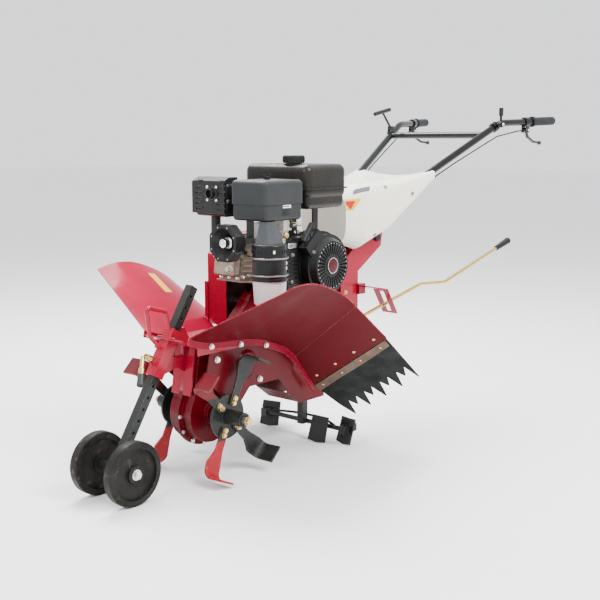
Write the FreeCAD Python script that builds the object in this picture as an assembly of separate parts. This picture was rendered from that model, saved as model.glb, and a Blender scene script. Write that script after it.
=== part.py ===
import FreeCAD, Part
import math
import os

# Mini cultivator: petrol engine over a chain case, two tine groups, a pair of transport wheels on a
# height-set leg, wing fenders with rubber flaps, and a tilting handlebar with hand controls.
# +X is the direction of travel, +Y is the operator's left, +Z is up. All lengths are in millimetres.
V = FreeCAD.Vector
ACROSS = V(0, 1, 0)
UP = V(0, 0, 1)
AHEAD = V(1, 0, 0)

# ---- driving dimensions -------------------------------------------------------------------------
ORIGIN_X = -550.124         # middle of the whole machine's length, moved to x = 0 on export
AXLE_X = 50.0              # tine axle
AXLE_Z = 185.57
TINE_R = 189.0             # tine axle to blade tip
TINE_TURNS = (25.0, -45.0, 205.0, 135.0)    # degrees each blade stands ahead of straight down
WHEEL_X = 380.0            # transport wheel axle
WHEEL_R = 90.0
WHEEL_W = 30.0
WHEEL_Y = 73.0
LEG_TILT = -32.3           # degrees the wheel leg leans back from upright
LEG_LEN = 557.0
LEG_SIDE = 26.0
SLEEVE_FROM = 272.0        # along the leg, from the wheel axle
SLEEVE_TO = 418.0
CRANK_X = -325.0           # engine crankshaft
CRANK_Z = 600.0
INPUT_X = -198.0           # chain case input shaft
INPUT_Z = 475.0
PULLEY_Y = -110.0          # belt line
CRANK_PULLEY_R = 35.0
DRIVEN_PULLEY_R = 60.0
TENSIONER = (-228.0, 596.0)    # belt clutch arm pivot
SPROCKET_R = 16.0
AXLE_SPROCKET_R = 60.0
DECK_Z = 400.0             # top of the chain case neck, where the deck plate lies
ENGINE_Z = 490.0           # engine foot
FENDER_Y = 385.0
FENDER_IN = 92.0            # deck edge, where the fenders are bolted
PIVOT_X = -742.0           # handlebar tilt bolt
PIVOT_Z = 648.0
BAR_R = 12.5
THROTTLE_AT = 0.95         # share of the tube's straight run
REVERSE_AT = 0.85          # crossbar and reverse handle
REVERSE_LIFT = 28.0        # reverse handle's pin over the crossbar
LEVER_DROP = 30.0          # hand lever's pin under its tube
LAMP = V(50, 95, 690)      # middle of the headlamp's front
SHIFT_PIVOT = V(-436, 92, 352)
OPENER_X = -412.0
OPENER_SIDE = 25.0
CLAMP_Z = 182.0             # screw that clamps the opener
FLANGE = 14.0              # rim of the chain case
RUN = 0.05                 # radial running clearance of shafts and pins


# ---- small builders -----------------------------------------------------------------------------
def box(x0, x1, y0, y1, z0, z1):
    """Square block between the given limits."""
    return Part.makeBox(x1 - x0, y1 - y0, z1 - z0, V(x0, y0, z0))


def soft_box(x0, x1, y0, y1, z0, z1, r):
    """Box with every edge rounded."""
    b = box(x0, x1, y0, y1, z0, z1)
    return b.makeFillet(r, b.Edges)


def rod(a, b, r):
    """Round bar from a to b."""
    return Part.makeCylinder(r, (b - a).Length, a, b - a)


def pipe(a, b, r, wall):
    """Round tube from a to b."""
    return rod(a, b, r).cut(rod(a, b, r - wall))


def across(x, z, y0, y1, r):
    """Round bar that lies across the machine."""
    return Part.makeCylinder(r, y1 - y0, V(x, y0, z), ACROSS)


def ring(x, z, y0, y1, r, hole):
    """Round bar across the machine with a hole through its middle."""
    return across(x, z, y0, y1, r).cut(across(x, z, y0, y1, hole))


def face_of(points):
    """Flat face inside a closed outline."""
    return Part.Face(Part.makePolygon(points + [points[0]]))


def plate(outline, y0, y1):
    """Plate cut to an outline of (x, z) points, lying between y0 and y1."""
    return face_of([V(x, y0, z) for x, z in outline]).extrude(V(0, y1 - y0, 0))


def hexagon(centre, axis, flats, length):
    """Hexagonal prism that starts at centre and runs along axis."""
    r = flats / 2.0 / math.cos(math.pi / 6)
    turns = [math.radians(60 * i) for i in range(6)]
    outline = face_of([V(r * math.cos(t), r * math.sin(t), 0) for t in turns])
    solid = outline.extrude(V(0, 0, length))
    solid.Placement = FreeCAD.Placement(centre, FreeCAD.Rotation(UP, axis))
    return solid


def bolt(centre, axis, size=8.0, grip=0.0):
    """Hexagon head with a washer, standing on centre; grip is the length of shank behind it."""
    parts = [rod(centre, centre + axis * 1.2, size * 1.05)]
    parts.append(hexagon(centre + axis * 1.2, axis, size * 1.6, size * 0.62))
    if grip:
        parts.append(rod(centre - axis * grip, centre, size / 2.0))
    return fuse(parts)


def fuse(parts):
    """One solid made of touching parts."""
    whole = parts[0].multiFuse(parts[1:]) if len(parts) > 1 else parts[0]
    return whole.removeSplitter()


def group(parts):
    """Separate solids that share one node."""
    return Part.makeCompound(parts)


def mirrored(shape):
    """The same shape on the other side of the machine."""
    return shape.mirror(V(0, 0, 0), ACROSS)


def rounded_path(points, radius):
    """Straight runs joined by tangent arcs of the given radius, as one wire."""
    edges = []
    start = points[0]
    for before, corner, after in zip(points, points[1:], points[2:]):
        come = (corner - before).normalize()
        go = (after - corner).normalize()
        turn = come.getAngle(go)
        back = radius * math.tan(turn / 2.0)
        a = corner - come * back
        b = corner + go * back
        inward = (go - come).normalize()
        middle = corner + inward * (radius / math.cos(turn / 2.0) - radius)
        edges.append(Part.LineSegment(start, a).toShape())
        edges.append(Part.Arc(a, middle, b).toShape())
        start = b
    edges.append(Part.LineSegment(start, points[-1]).toShape())
    return Part.Wire(edges)


def bent_rod(points, r, bend):
    """Round bar along straight runs with rounded corners."""
    path = rounded_path(points, bend)
    disc = Part.Wire(Part.makeCircle(r, points[0], points[1] - points[0]))
    return path.makePipeShell([disc], True, False)


def on_leg(s, off=0.0, y=0.0):
    """Point at distance s up the leg and off ahead of its middle line."""
    t = math.radians(LEG_TILT)
    x = WHEEL_X + s * math.sin(t) + off * math.cos(t)
    z = WHEEL_R + s * math.cos(t) - off * math.sin(t)
    return V(x, y, z)


def leg_box(s0, s1, side):
    """Square bar along the leg's middle line."""
    b = box(-side / 2, side / 2, -side / 2, side / 2, s0, s1)
    b.rotate(V(0, 0, 0), ACROSS, LEG_TILT)
    b.translate(V(WHEEL_X, 0, WHEEL_R))
    return b


# ---- transport wheels ---------------------------------------------------------------------------
def wheel(side):
    """Solid wheel with a dished web between rim and hub."""
    y = side * WHEEL_Y
    half = WHEEL_W / 2
    disc = across(WHEEL_X, WHEEL_R, y - half, y + half, WHEEL_R)
    disc = disc.makeFillet(5.0, [e for e in disc.Edges if e.Closed])
    for a, b in ((y - half, y - half + 9), (y + half - 9, y + half)):
        disc = disc.cut(ring(WHEEL_X, WHEEL_R, a, b, 72, 25))
    return disc.cut(across(WHEEL_X, WHEEL_R, y - half, y + half, 8 + RUN))


def wheel_axle():
    """Axle with a washer and nut outside each wheel."""
    end = WHEEL_Y + WHEEL_W / 2 + 0.6
    parts = [across(WHEEL_X, WHEEL_R, -end - 11, end + 11, 8)]
    for s in (-1, 1):
        face = V(WHEEL_X, s * end, WHEEL_R)
        parts.append(rod(face, face + ACROSS * (s * 1.6), 15))
        parts.append(hexagon(face + ACROSS * (s * 1.6), ACROSS * s, 21, 7))
    return fuse(parts)


def wheel_leg():
    """Square tube with set holes and a cross boss for the axle."""
    leg = leg_box(0, LEG_LEN, LEG_SIDE).cut(leg_box(24, LEG_LEN, LEG_SIDE - 7))
    inner = WHEEL_Y - WHEEL_W / 2 - 0.6
    leg = fuse([leg, across(WHEEL_X, WHEEL_R, -inner, inner, 14)])
    leg = leg.cut(across(WHEEL_X, WHEEL_R, -inner, inner, 8))
    for i in range(14):
        p = on_leg(70 + 35 * i)
        leg = leg.cut(rod(p - ACROSS * 20, p + ACROSS * 20, 5))
    return leg


def clamp_crank():
    """Bent clamp screw with an eye and a moulded grip, turned a little to the left."""
    ahead = (on_leg(0, 1) - on_leg(0)).normalize()
    down = (on_leg(0) - on_leg(1)).normalize()
    lean = math.radians(25)
    arm = down * math.cos(lean) + ACROSS * math.sin(lean)
    tip = on_leg(312, LEG_SIDE / 2 + 0.8)
    elbow = tip + ahead * 56
    screw = bent_rod([tip, elbow, elbow + arm * 52], 5.95, 12)
    eye = rod(tip + ahead * 25, tip + ahead * 40, 9.5)
    hold = elbow + arm * 42
    grip = Part.makeCone(8.5, 11, 56, hold, arm)
    grip = grip.makeFillet(3.0, [e for e in grip.Edges if e.Closed])
    return fuse([screw, eye, grip])


def nose_frame():
    """Leg sleeve, its gusset to the chain case, the clamp boss and the guard hoop, welded."""
    sleeve = leg_box(SLEEVE_FROM, SLEEVE_TO, LEG_SIDE + 10)
    gusset = plate([(214, 318), (152, 333), (112, 312), (96, 282), (90, 392), (118, 447), (150, 447)],
                   -5, 5)
    gusset = gusset.cut(plate([(166, 366), (140, 408), (126, 404), (126, 366)], -6, 6))
    ahead = (on_leg(0, 1) - on_leg(0)).normalize()
    boss = rod(on_leg(312, 14), on_leg(312, 32), 12)
    foot = plate([(128, 250), (134, 250), (112, 393), (106, 393)], -40, 40)
    path = [on_leg(408, 14), V(184, 0, 500), V(256, 0, 522), V(246, 0, 438), on_leg(352, 14)]
    hoop = bent_rod(path, 6, 10)
    whole = fuse([sleeve, gusset, boss, hoop, foot])
    whole = whole.cut(leg_box(SLEEVE_FROM - 60, SLEEVE_TO + 60, LEG_SIDE + 1))
    whole = whole.cut(case_body(FLANGE, -7, 7)).cut(case_body(0, -44, 44))
    return whole.cut(rod(on_leg(312, 0), on_leg(312, 0) + ahead * 40, 6.0))


# ---- chain case and drive -----------------------------------------------------------------------
def case_body(grow, y0, y1):
    """Case outline: a drum round the axle, a drum round the input shaft and a leaning neck."""
    drum = across(AXLE_X, AXLE_Z, y0, y1, 88 + grow)
    head = across(INPUT_X, INPUT_Z, y0, y1, 38 + grow)
    g = grow
    neck = plate([(AXLE_X + 74 + g, AXLE_Z + 40), (112 + g, 300), (96 + g, DECK_Z - 6 + g),
                  (-60, DECK_Z - 6 + g), (INPUT_X + 30 + g, INPUT_Z + 20), (INPUT_X - 34 - g, INPUT_Z + 16),
                  (INPUT_X - 30 - g, 372), (-150 - g, 300), (AXLE_X - 80 - g, AXLE_Z + 30),
                  (AXLE_X - 60 - g, AXLE_Z - 40), (AXLE_X + 60, AXLE_Z - 40)], y0, y1)
    return fuse([drum, head, neck])


def case_half(side):
    """One half of the cast case with its rim flange, shaft boss and bearing bores."""
    lo, hi = sorted((0, side * 44))
    rim_lo, rim_hi = sorted((0, side * 7))
    hollow_lo, hollow_hi = sorted((0, side * 37))
    half = fuse([case_body(0, lo, hi), case_body(FLANGE, rim_lo, rim_hi)])
    half = half.cut(box(-66, 200, lo, hi, DECK_Z, DECK_Z + 60))
    boss_lo, boss_hi = sorted((side * 43, side * 58))
    half = fuse([half, across(AXLE_X, AXLE_Z, boss_lo, boss_hi, 34)])
    if side < 0:
        half = fuse([half, across(INPUT_X, INPUT_Z, -62, -43, 24)])
    half = half.cut(case_body(-7, hollow_lo, hollow_hi)).cut(chain_loop(9, hollow_lo, hollow_hi))
    ends = sorted((0, side * 70))
    half = half.cut(across(AXLE_X, AXLE_Z, ends[0], ends[1], 15 + RUN))
    if side < 0:
        return half.cut(across(INPUT_X, INPUT_Z, -70, 0, 10 + RUN))
    return half.cut(across(INPUT_X, INPUT_Z, 0, 42.5, 10 + RUN))


def case_bolts():
    """Bolts round the case rim, on the left half's flange."""
    r = 88 + FLANGE / 2
    spots = [(AXLE_X + r * math.cos(math.radians(a)), AXLE_Z + r * math.sin(math.radians(a)))
             for a in (-150, -120, -90, -60, -30, 0)]
    spots += [(-238, 498), (-237, 420), (-195, 330), (-110, 266)]
    body = case_body(0, 0, 44)
    return [bolt(V(x, 7, z), ACROSS, 6.4).cut(body) for x, z in spots]


def side_shields():
    """Pressed plates beside the case, bolted under the deck, one on each side."""
    outline = [(84, DECK_Z), (108, 300), (70, 262), (-20, 192), (-75, 246), (-250, 246), (-300, 300),
               (-300, 345), (-240, DECK_Z)]
    shield = plate(outline, 74, 79)
    shield = fuse([shield, box(-235, 80, 71, 79, DECK_Z - 5, DECK_Z)])
    pad = Part.makeCone(46, 36, 7, V(-60, 78.5, 318), ACROSS)
    shield = fuse([shield, pad])
    return group([shield, mirrored(shield)])


def deck_plate():
    """Folded plate on the case neck that carries the fenders and the engine frame."""
    edge = FENDER_IN
    top = box(-300, 150, -edge, edge, DECK_Z, DECK_Z + 5)
    nose = plate([(150, DECK_Z), (150, DECK_Z + 5), (196, DECK_Z + 28), (196, DECK_Z + 23)], -80, 80)
    lips = [box(-300, 150, y, y + 4, DECK_Z - 22, DECK_Z + 2) for y in (-edge, edge - 4)]
    deck = fuse([top, nose] + lips)
    deck = deck.cut(box(INPUT_X - 60, INPUT_X + 144, -60, 60, DECK_Z - 30, DECK_Z + 40))
    deck = deck.cut(box(88, 166, -5.1, 5.1, DECK_Z - 30, DECK_Z + 40))
    return deck.cut(leg_box(SLEEVE_FROM - 40, SLEEVE_TO + 40, LEG_SIDE + 11))


def sprocket(x, z, r, bore, teeth):
    """Chain wheel with square-ended teeth."""
    body = across(x, z, -4, 4, r - 5)
    tips = []
    for i in range(teeth):
        tooth = box(-3, 3, -2.5, 2.5, r - 9, r)
        tooth.rotate(V(0, 0, 0), ACROSS, 360.0 * i / teeth)
        tooth.translate(V(x, 0, z))
        tips.append(tooth)
    return fuse([body] + tips).cut(across(x, z, -6, 6, bore))


def loop_solid(xa, za, ra, xb, zb, rb, y0, y1):
    """Solid inside a belt or chain line that runs round two wheels."""
    gap = math.hypot(xb - xa, zb - za)
    lean = math.atan2(zb - za, xb - xa)
    open_angle = math.acos((ra - rb) / gap)
    sides = []
    for s in (1, -1):
        a = lean + s * open_angle
        sides.append((V(xa + ra * math.cos(a), y0, za + ra * math.sin(a)),
                      V(xb + rb * math.cos(a), y0, zb + rb * math.sin(a))))
    outline = face_of([sides[0][0], sides[0][1], sides[1][1], sides[1][0]])
    middle = outline.extrude(V(0, y1 - y0, 0))
    return fuse([across(xa, za, y0, y1, ra), across(xb, zb, y0, y1, rb), middle])


def chain_loop(grow, y0, y1):
    """Solid inside the chain line, grown by a distance."""
    return loop_solid(INPUT_X, INPUT_Z, SPROCKET_R + grow, AXLE_X, AXLE_Z, AXLE_SPROCKET_R + grow, y0, y1)


def chain():
    """Roller chain from the input sprocket to the axle sprocket."""
    return chain_loop(8, -5, 5).cut(chain_loop(1, -6, 6))


def v_belt():
    """Drive belt from the engine pulley to the input pulley."""
    inside = (CRANK_X, CRANK_Z, CRANK_PULLEY_R - 5, INPUT_X, INPUT_Z, DRIVEN_PULLEY_R - 5)
    outside = (CRANK_X, CRANK_Z, CRANK_PULLEY_R + 3, INPUT_X, INPUT_Z, DRIVEN_PULLEY_R + 3)
    belt = loop_solid(*outside, PULLEY_Y - 6, PULLEY_Y + 6)
    return belt.cut(loop_solid(*inside, PULLEY_Y - 7, PULLEY_Y + 7))


def pulley(x, z, r, bore):
    """Grooved pulley with a hub."""
    y = PULLEY_Y
    wheel_disc = across(x, z, y - 10, y + 10, r)
    groove = ring(x, z, y - 6.6, y + 6.6, r + 1, r - 5.6)
    hub = across(x, z, y - 10, y + 18, bore + 10)
    return fuse([wheel_disc.cut(groove), hub]).cut(across(x, z, y - 12, y + 20, bore))


def input_shaft():
    """Pulley shaft with its chain pinion."""
    shaft = across(INPUT_X, INPUT_Z, PULLEY_Y - 16, 42, 10)
    return fuse([shaft, sprocket(INPUT_X, INPUT_Z, SPROCKET_R, 9, 9)])


def crankshaft():
    """Engine shaft from the pulley to the flywheel, with the crank throw and the flywheel."""
    shaft = across(CRANK_X, CRANK_Z, PULLEY_Y - 16, 118, 10)
    webs = [across(CRANK_X, CRANK_Z, y, y + 14, 40) for y in (-22, 22)]
    flywheel = ring(CRANK_X, CRANK_Z, 92, 112, 82, 9)
    vanes = []
    for i in range(16):
        vane = box(-1.5, 1.5, 111, 124, 48, 78)
        vane.rotate(V(0, 0, 0), ACROSS, 22.5 * i)
        vane.translate(V(CRANK_X, 0, CRANK_Z))
        vanes.append(vane)
    return fuse([shaft] + webs + [flywheel] + vanes)


def tensioner():
    """Belt clutch arm with its idler roller, swung by the left hand lever."""
    x, z = TENSIONER
    roller_x, roller_z = x + 34, z - 16
    arm = fuse([across(x, z, -92, -84, 12), across(roller_x, roller_z, -92, -84, 10),
                loop_solid(x, z, 10, roller_x, roller_z, 8, -92, -84)])
    roller = across(roller_x, roller_z, -118, -92, 14)
    return fuse([arm, roller]).cut(across(x, z, -95, -80, 6 + RUN))


def belt_cover():
    """Pressed cover over the belt drive, open towards the engine, with its tensioner stud."""
    outline = [(-130, 405), (-130, 628), (-210, 690), (-365, 690), (-405, 640), (-405, 520), (-330, 405)]
    inner = [(-134, 409), (-134, 626), (-212, 686), (-363, 686), (-401, 638), (-401, 522), (-328, 409)]
    step = [(-126, 405), (-126, 540), (-330, 540), (-350, 405)]
    cover = plate(outline, -152, -72).cut(plate(inner, -148, -71))
    hollow = plate([(-130, 409), (-130, 536), (-328, 536), (-346, 409)], -160, -149)
    boss = plate(step, -164, -150).cut(hollow)
    cover = fuse([cover, boss]).cut(plate([(-140, 412), (-140, 530), (-322, 530), (-336, 412)], -153, -147))
    stud = across(TENSIONER[0], TENSIONER[1], -152, -79.5, 6)
    return fuse([cover, stud])


# ---- tine rotor ---------------------------------------------------------------------------------
def tine_axle():
    """Output shaft with a hexagonal drive stub beyond each case boss."""
    shaft = across(AXLE_X, AXLE_Z, -62, 62, 15)
    stubs = [hexagon(V(AXLE_X, s * 60, AXLE_Z), ACROSS * s, 26, 128) for s in (-1, 1)]
    return fuse([shaft] + stubs)


def blade(side, angle, reach):
    """L-shaped tine: a flat shank that curls outwards into a wide slanting edge."""
    path = rounded_path([V(0, 0, -34), V(0, 0, -(reach - 4)), V(0, reach * 0.27 + 20, -reach + 8)], 26)
    strip = Part.Wire(Part.makePolygon([V(-40, -3, -34), V(40, -3, -34), V(40, 3, -34), V(-40, 3, -34),
                                        V(-40, -3, -34)]))
    bent = path.makePipeShell([strip], True, False)
    outline = [(-13, -30), (13, -30), (15, -reach * 0.55), (34, -reach * 0.74), (30, -reach - 5),
               (-22, -reach - 5), (-26, -reach * 0.84), (-15, -reach * 0.55)]
    shape = bent.common(plate(outline, -10, 90))
    shape.translate(V(0, 112, 0))
    if side < 0:
        shape = mirrored(shape)
    shape.rotate(V(0, 0, 0), ACROSS, angle)
    shape.translate(V(AXLE_X, 0, AXLE_Z))
    return shape


def blade_set(side):
    """Two crossed pairs of tines."""
    return group([blade(side, -turn, TINE_R) for turn in TINE_TURNS])


def blade_holders():
    """Hexagon-bored sleeves with a round flange for the four tines of each side."""
    parts = []
    for s in (-1, 1):
        y0, y1 = sorted((s * 74, s * 176))
        sleeve = across(AXLE_X, AXLE_Z, y0, y1, 22)
        f0, f1 = sorted((s * 102, s * 109))
        hub = fuse([sleeve, across(AXLE_X, AXLE_Z, f0, f1, 66)])
        parts.append(hub.cut(hexagon(V(AXLE_X, s * 60, AXLE_Z), ACROSS * s, 26.02, 130)))
    return group(parts)


def blade_bolts():
    """Two bolts through each tine and the flange."""
    out = []
    for s in (-1, 1):
        for turn in TINE_TURNS:
            t = math.radians(turn)
            down = V(math.sin(t), 0, -math.cos(t))
            for reach in (42, 56):
                p = V(AXLE_X, s * 115, AXLE_Z) + down * reach
                out.append(bolt(p, ACROSS * s, 8.0))
        p = V(AXLE_X, s * 188.2, AXLE_Z)
        out.append(bolt(p, ACROSS * s, 12.0))
    return group(out)


# ---- fenders ------------------------------------------------------------------------------------
def curve(points):
    """Smooth curve through points."""
    line = Part.BSplineCurve()
    line.interpolate(points)
    return line.toShape()


def sheet_between(edge_a, edge_b, thickness):
    """Steel sheet stretched between two edges."""
    return Part.makeRuledSurface(edge_a, edge_b).extrude(V(0, 0, -thickness))


def fender(side):
    """Wing over the tines: an arched front panel and a straight rear panel, with a case flange."""
    y = FENDER_IN
    inner = [V(186, y, 436), V(120, y, 414), V(-40, y, 400),
             V(-120, y, 386), V(-222, y, 346), V(-268, y, 310)]
    outer = [V(120, FENDER_Y, 584), V(70, FENDER_Y, 596), V(-20, FENDER_Y, 594), V(-90, FENDER_Y, 572),
             V(-160, FENDER_Y, 538), V(-196, FENDER_Y, 512)]
    front = sheet_between(curve(inner), curve(outer), 3)
    rear = sheet_between(Part.makeLine(inner[-1], V(-356, y, 202)),
                         Part.makeLine(outer[-1], V(-350, FENDER_Y, 396)), 3.4)
    hem = [(p.x, p.z) for p in inner] + [(-356, 202)]
    flange = plate(hem + [(x + 4, z - 20) for x, z in reversed(hem)], y, y + 3)
    wing = fuse([front, rear, flange])
    if side > 0:
        return wing
    return mirrored(wing).cut(box(-420, -122, -168, -FENDER_IN, 398, 520))


FLAP_IN = V(-356, FENDER_IN + 4, 200)      # flap's upper edge, beside the case
FLAP_OUT = V(-350, FENDER_Y - 4, 390)      # and at the outer end
FLAP_FALL = V(-165, 0, -135)


def flap_point(share, down, lift):
    """Point on the flap: share of its width, share of its fall and height over its under face."""
    return FLAP_IN + (FLAP_OUT - FLAP_IN) * share + FLAP_FALL * down + V(-2.6, 0, 3.2) * (lift / 3.0)


def flatten(points, origin, along, fall):
    """Points moved onto the plane through origin that holds both directions."""
    normal = along.cross(fall).normalize()
    return [p - normal * (p - origin).dot(normal) for p in points]


def flap(side):
    """Rubber curtain under the fender's rear edge, cut into teeth."""
    teeth = 9
    points = [FLAP_IN, FLAP_OUT]
    for i in range(teeth):
        share = 1.0 - i / float(teeth)
        points.append(flap_point(share, 1.12 if i % 2 == 0 else 0.94, 0))
        points.append(flap_point(share - 0.5 / teeth, 0.72, 0))
    flat = flatten(points, FLAP_IN, FLAP_OUT - FLAP_IN, FLAP_FALL)
    sheet = face_of(flat).extrude(V(-2.6, 0, 3.2))
    return sheet if side > 0 else mirrored(sheet)


def flap_strip(side):
    """Steel strip that clamps the flap to the fender's edge."""
    spots = ((0.01, 0), (0.99, 0), (0.99, 0.19), (0.01, 0.19))
    corners = [flap_point(share, down, 3) for share, down in spots]
    strip = face_of(flatten(corners, corners[0], FLAP_OUT - FLAP_IN, FLAP_FALL)).extrude(V(-1.56, 0, 1.92))
    return strip if side > 0 else mirrored(strip)


def frame_bolts():
    """Hexagon bolts of the case, side plates and fenders."""
    out = case_bolts()
    normal = (FLAP_OUT - FLAP_IN).cross(FLAP_FALL).normalize()
    outward = normal * math.copysign(1, normal.z)
    for s in (-1, 1):
        for x, z in ((62, 352), (96, 300), (-212, 372), (-118, 262)):
            out.append(bolt(V(x, s * 79, z), ACROSS * s, 9.0))
        out.append(bolt(V(120, s * 60, DECK_Z + 5), UP, 9.0))
        out.append(bolt(V(60, s * 80, DECK_Z + 5), UP, 9.0))
        for x, z in ((100, 399), (-20, 387), (-130, 367)):
            out.append(bolt(V(x, s * (FENDER_IN + 3), z), ACROSS * s, 8.0))
        for x in (-300, -400):
            out.append(bolt(V(x, s * 68 + 12, ENGINE_Z + 14), UP, 8.0))
        for share in (0.1, 0.36, 0.63, 0.9):
            stud = bolt(flap_point(share, 0.095, 4.8), outward, 6.0)
            out.append(stud if s > 0 else mirrored(stud))
    return out


# ---- frame --------------------------------------------------------------------------------------
def engine_frame():
    """Two side plates with the engine base, rear column and handlebar horns, joined by cross members."""
    outline = [(-256, 405), (-256, 478), (-446, 478), (-500, 440), (-545, 462), (-545, 566), (-700, 688),
               (-752, 690), (-778, 662), (-770, 618), (-640, 540), (-640, 405)]
    parts = [plate(outline, y, y + 6) for y in (-56, 50)]
    parts.append(box(-446, -256, -68, 96, 478, ENGINE_Z))
    parts.append(box(-640, -634, -56, 56, 405, 560))
    parts.append(box(-551, -545, -56, 56, 462, 566))
    parts.append(box(-640, -256, -56, 56, 405, 411))
    parts.append(plate([(-551, 560), (-551, 566), (-660, 652), (-664, 648)], -56, 56))
    frame = fuse(parts)
    for x in (-300, -400):
        for y in (-56, 80):
            frame = frame.cut(Part.makeCylinder(4.5, 20, V(x, y, 477), UP))
    return frame.cut(across(PIVOT_X, PIVOT_Z, -70, 70, 8 + RUN))


def shift_gate():
    """Slotted strip behind the column that holds the shift rod in its notches."""
    strip = plate([(-632, 489), (-632, 493), (-730, 474), (-790, 382), (-786, 380), (-727, 470)], 56, 118)
    window = box(-798, -728, 78, 98, 388, 464)
    tab = box(-664, -630, 40, 70, 462, 497)
    return fuse([strip.cut(window), tab])


def rear_hitch():
    """Box under the frame with a square socket for the furrow opener's shank."""
    outline = [(-160, 398), (-160, 320), (-262, 188), (-322, 144), (-440, 144), (-440, 405), (-302, 405),
               (-302, 398)]
    parts = [plate(outline, y, y + 5) for y in (-70, 65)]
    parts.append(box(-440, -302, -70, 70, 400, 405))
    parts.append(box(OPENER_X - 18, OPENER_X + 18, -70, 70, 200, 214))
    parts.append(box(OPENER_X - 20, OPENER_X + 20, -20, 20, 152, 340))
    parts.append(plate([(-262, 188), (-322, 144), (-326, 144), (-266, 188)], -70, 70))
    hitch = fuse(parts)
    half = OPENER_SIDE / 2 + 0.5
    hitch = hitch.cut(box(OPENER_X - half, OPENER_X + half, -half, half, 100, 398))
    return hitch.cut(rod(V(OPENER_X - 10, 0, CLAMP_Z), V(OPENER_X - 30, 0, CLAMP_Z), 5))


def hitch_pin():
    """Screw that clamps the opener's shank in the socket, with a cross handle."""
    x, z = OPENER_X, CLAMP_Z
    screw = rod(V(x - 13.4, 0, z), V(x - 52, 0, z), 5)
    handle = across(x - 46, z, -26, 26, 4)
    knobs = [across(x - 46, z, y, y + 8, 6) for y in (-30, 22)]
    return fuse([screw, handle] + knobs)


def opener_shank():
    """Square shank with set holes, and the tool bar across its foot."""
    half = OPENER_SIDE / 2
    shank = box(OPENER_X - half, OPENER_X + half, -half, half, 44, 330)
    for i in range(6):
        shank = shank.cut(across(OPENER_X, 140 + 30 * i, -20, 20, 4.5))
    bar = across(OPENER_X - 8, 52, -188, 188, 8)
    return fuse([shank, bar])


def opener_blades():
    """Three hoe blades clipped to the tool bar, and the curved strap that ties them behind."""
    x = OPENER_X - 8
    out = []
    for y, back, lean in ((-172, 40, 14), (84, 0, 0), (172, 40, -14)):
        outline = face_of([V(10, -34, 84), V(10, 34, 84), V(34, 36, 4), V(35.2, 0, 0), V(34, -36, 4)])
        hoe = outline.extrude(V(4, 0, 1))
        hoe.rotate(V(0, 0, 0), UP, lean)
        hoe.translate(V(-back, 0, 0))
        hoe = fuse([hoe, box(-11 - back, 14, -12, 12, 40, 64), box(-back - 6, 14 - back, -12, 12, 40, 78)])
        hoe.translate(V(x, y, 0))
        out.append(hoe.cut(across(x, 52, -190, 190, 8)))
    arc = ring(x + 232, 0, 0, 8, 250, 246)
    arc.rotate(V(x + 232, 0, 0), AHEAD, -90)
    arc = arc.common(box(x - 60, x + 60, -150, 150, -10, 10))
    arc.translate(V(-14, 0, 68))
    return group(out + [arc])


# ---- engine -------------------------------------------------------------------------------------
def barrel():
    """Leaning cylinder block."""
    block = box(-260, -132, -36, 66, 540, 680)
    block.rotate(V(-250, 0, 610), ACROSS, -8)
    return block


def crankcase():
    """Crankcase with its feet and the leaning cylinder barrel, hollow round the crank webs."""
    body = soft_box(-428, -250, -46, 66, ENGINE_Z, 688, 14)
    foot = box(-436, -256, -64, 92, ENGINE_Z, ENGINE_Z + 14)
    bosses = [across(CRANK_X, CRANK_Z, 60, 91, 70), across(CRANK_X, CRANK_Z, -64, -40, 34)]
    case = fuse([body, barrel(), foot] + bosses)
    case = case.cut(across(CRANK_X, CRANK_Z, -30, 44, 46))
    case = case.cut(across(CRANK_X, CRANK_Z, -70, 95, 10 + RUN))
    for x in (-300, -400):
        for y in (-56, 80):
            case = case.cut(Part.makeCylinder(4.2, 16, V(x, y, ENGINE_Z - 1), UP))
    return case


def cylinder_head():
    """Finned head with the rocker cover in front."""
    parts = [box(-128, -66, -26, 56, 560, 690)]
    for i in range(9):
        z = 556 + 16 * i
        parts.append(box(-134, -62, -38, 68, z, z + 4))
    cover = soft_box(-66, -34, -28, 58, 572, 684, 8)
    plug = rod(V(-90, 60, 640), V(-72, 84, 646), 8)
    head = fuse(parts + [cover, plug])
    head.rotate(V(-130, 0, 620), ACROSS, -6)
    return head.cut(barrel())


def fan_cover():
    """Blower housing round the flywheel with a cowl over the barrel."""
    drum = across(CRANK_X, CRANK_Z, 92.5, 150, 104)
    cowl = box(CRANK_X, -172, 92.5, 146, 520, 690)
    cowl = cowl.makeFillet(16, [e for e in cowl.Edges if abs(e.tangentAt(0).y) > 0.9])
    body = fuse([drum, cowl])
    inner = fuse([across(CRANK_X, CRANK_Z, 90, 144, 98), box(CRANK_X, -178, 90, 140, 526, 684)])
    body = body.cut(inner)
    return body.cut(across(CRANK_X, CRANK_Z, 140, 160, 70))


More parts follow.
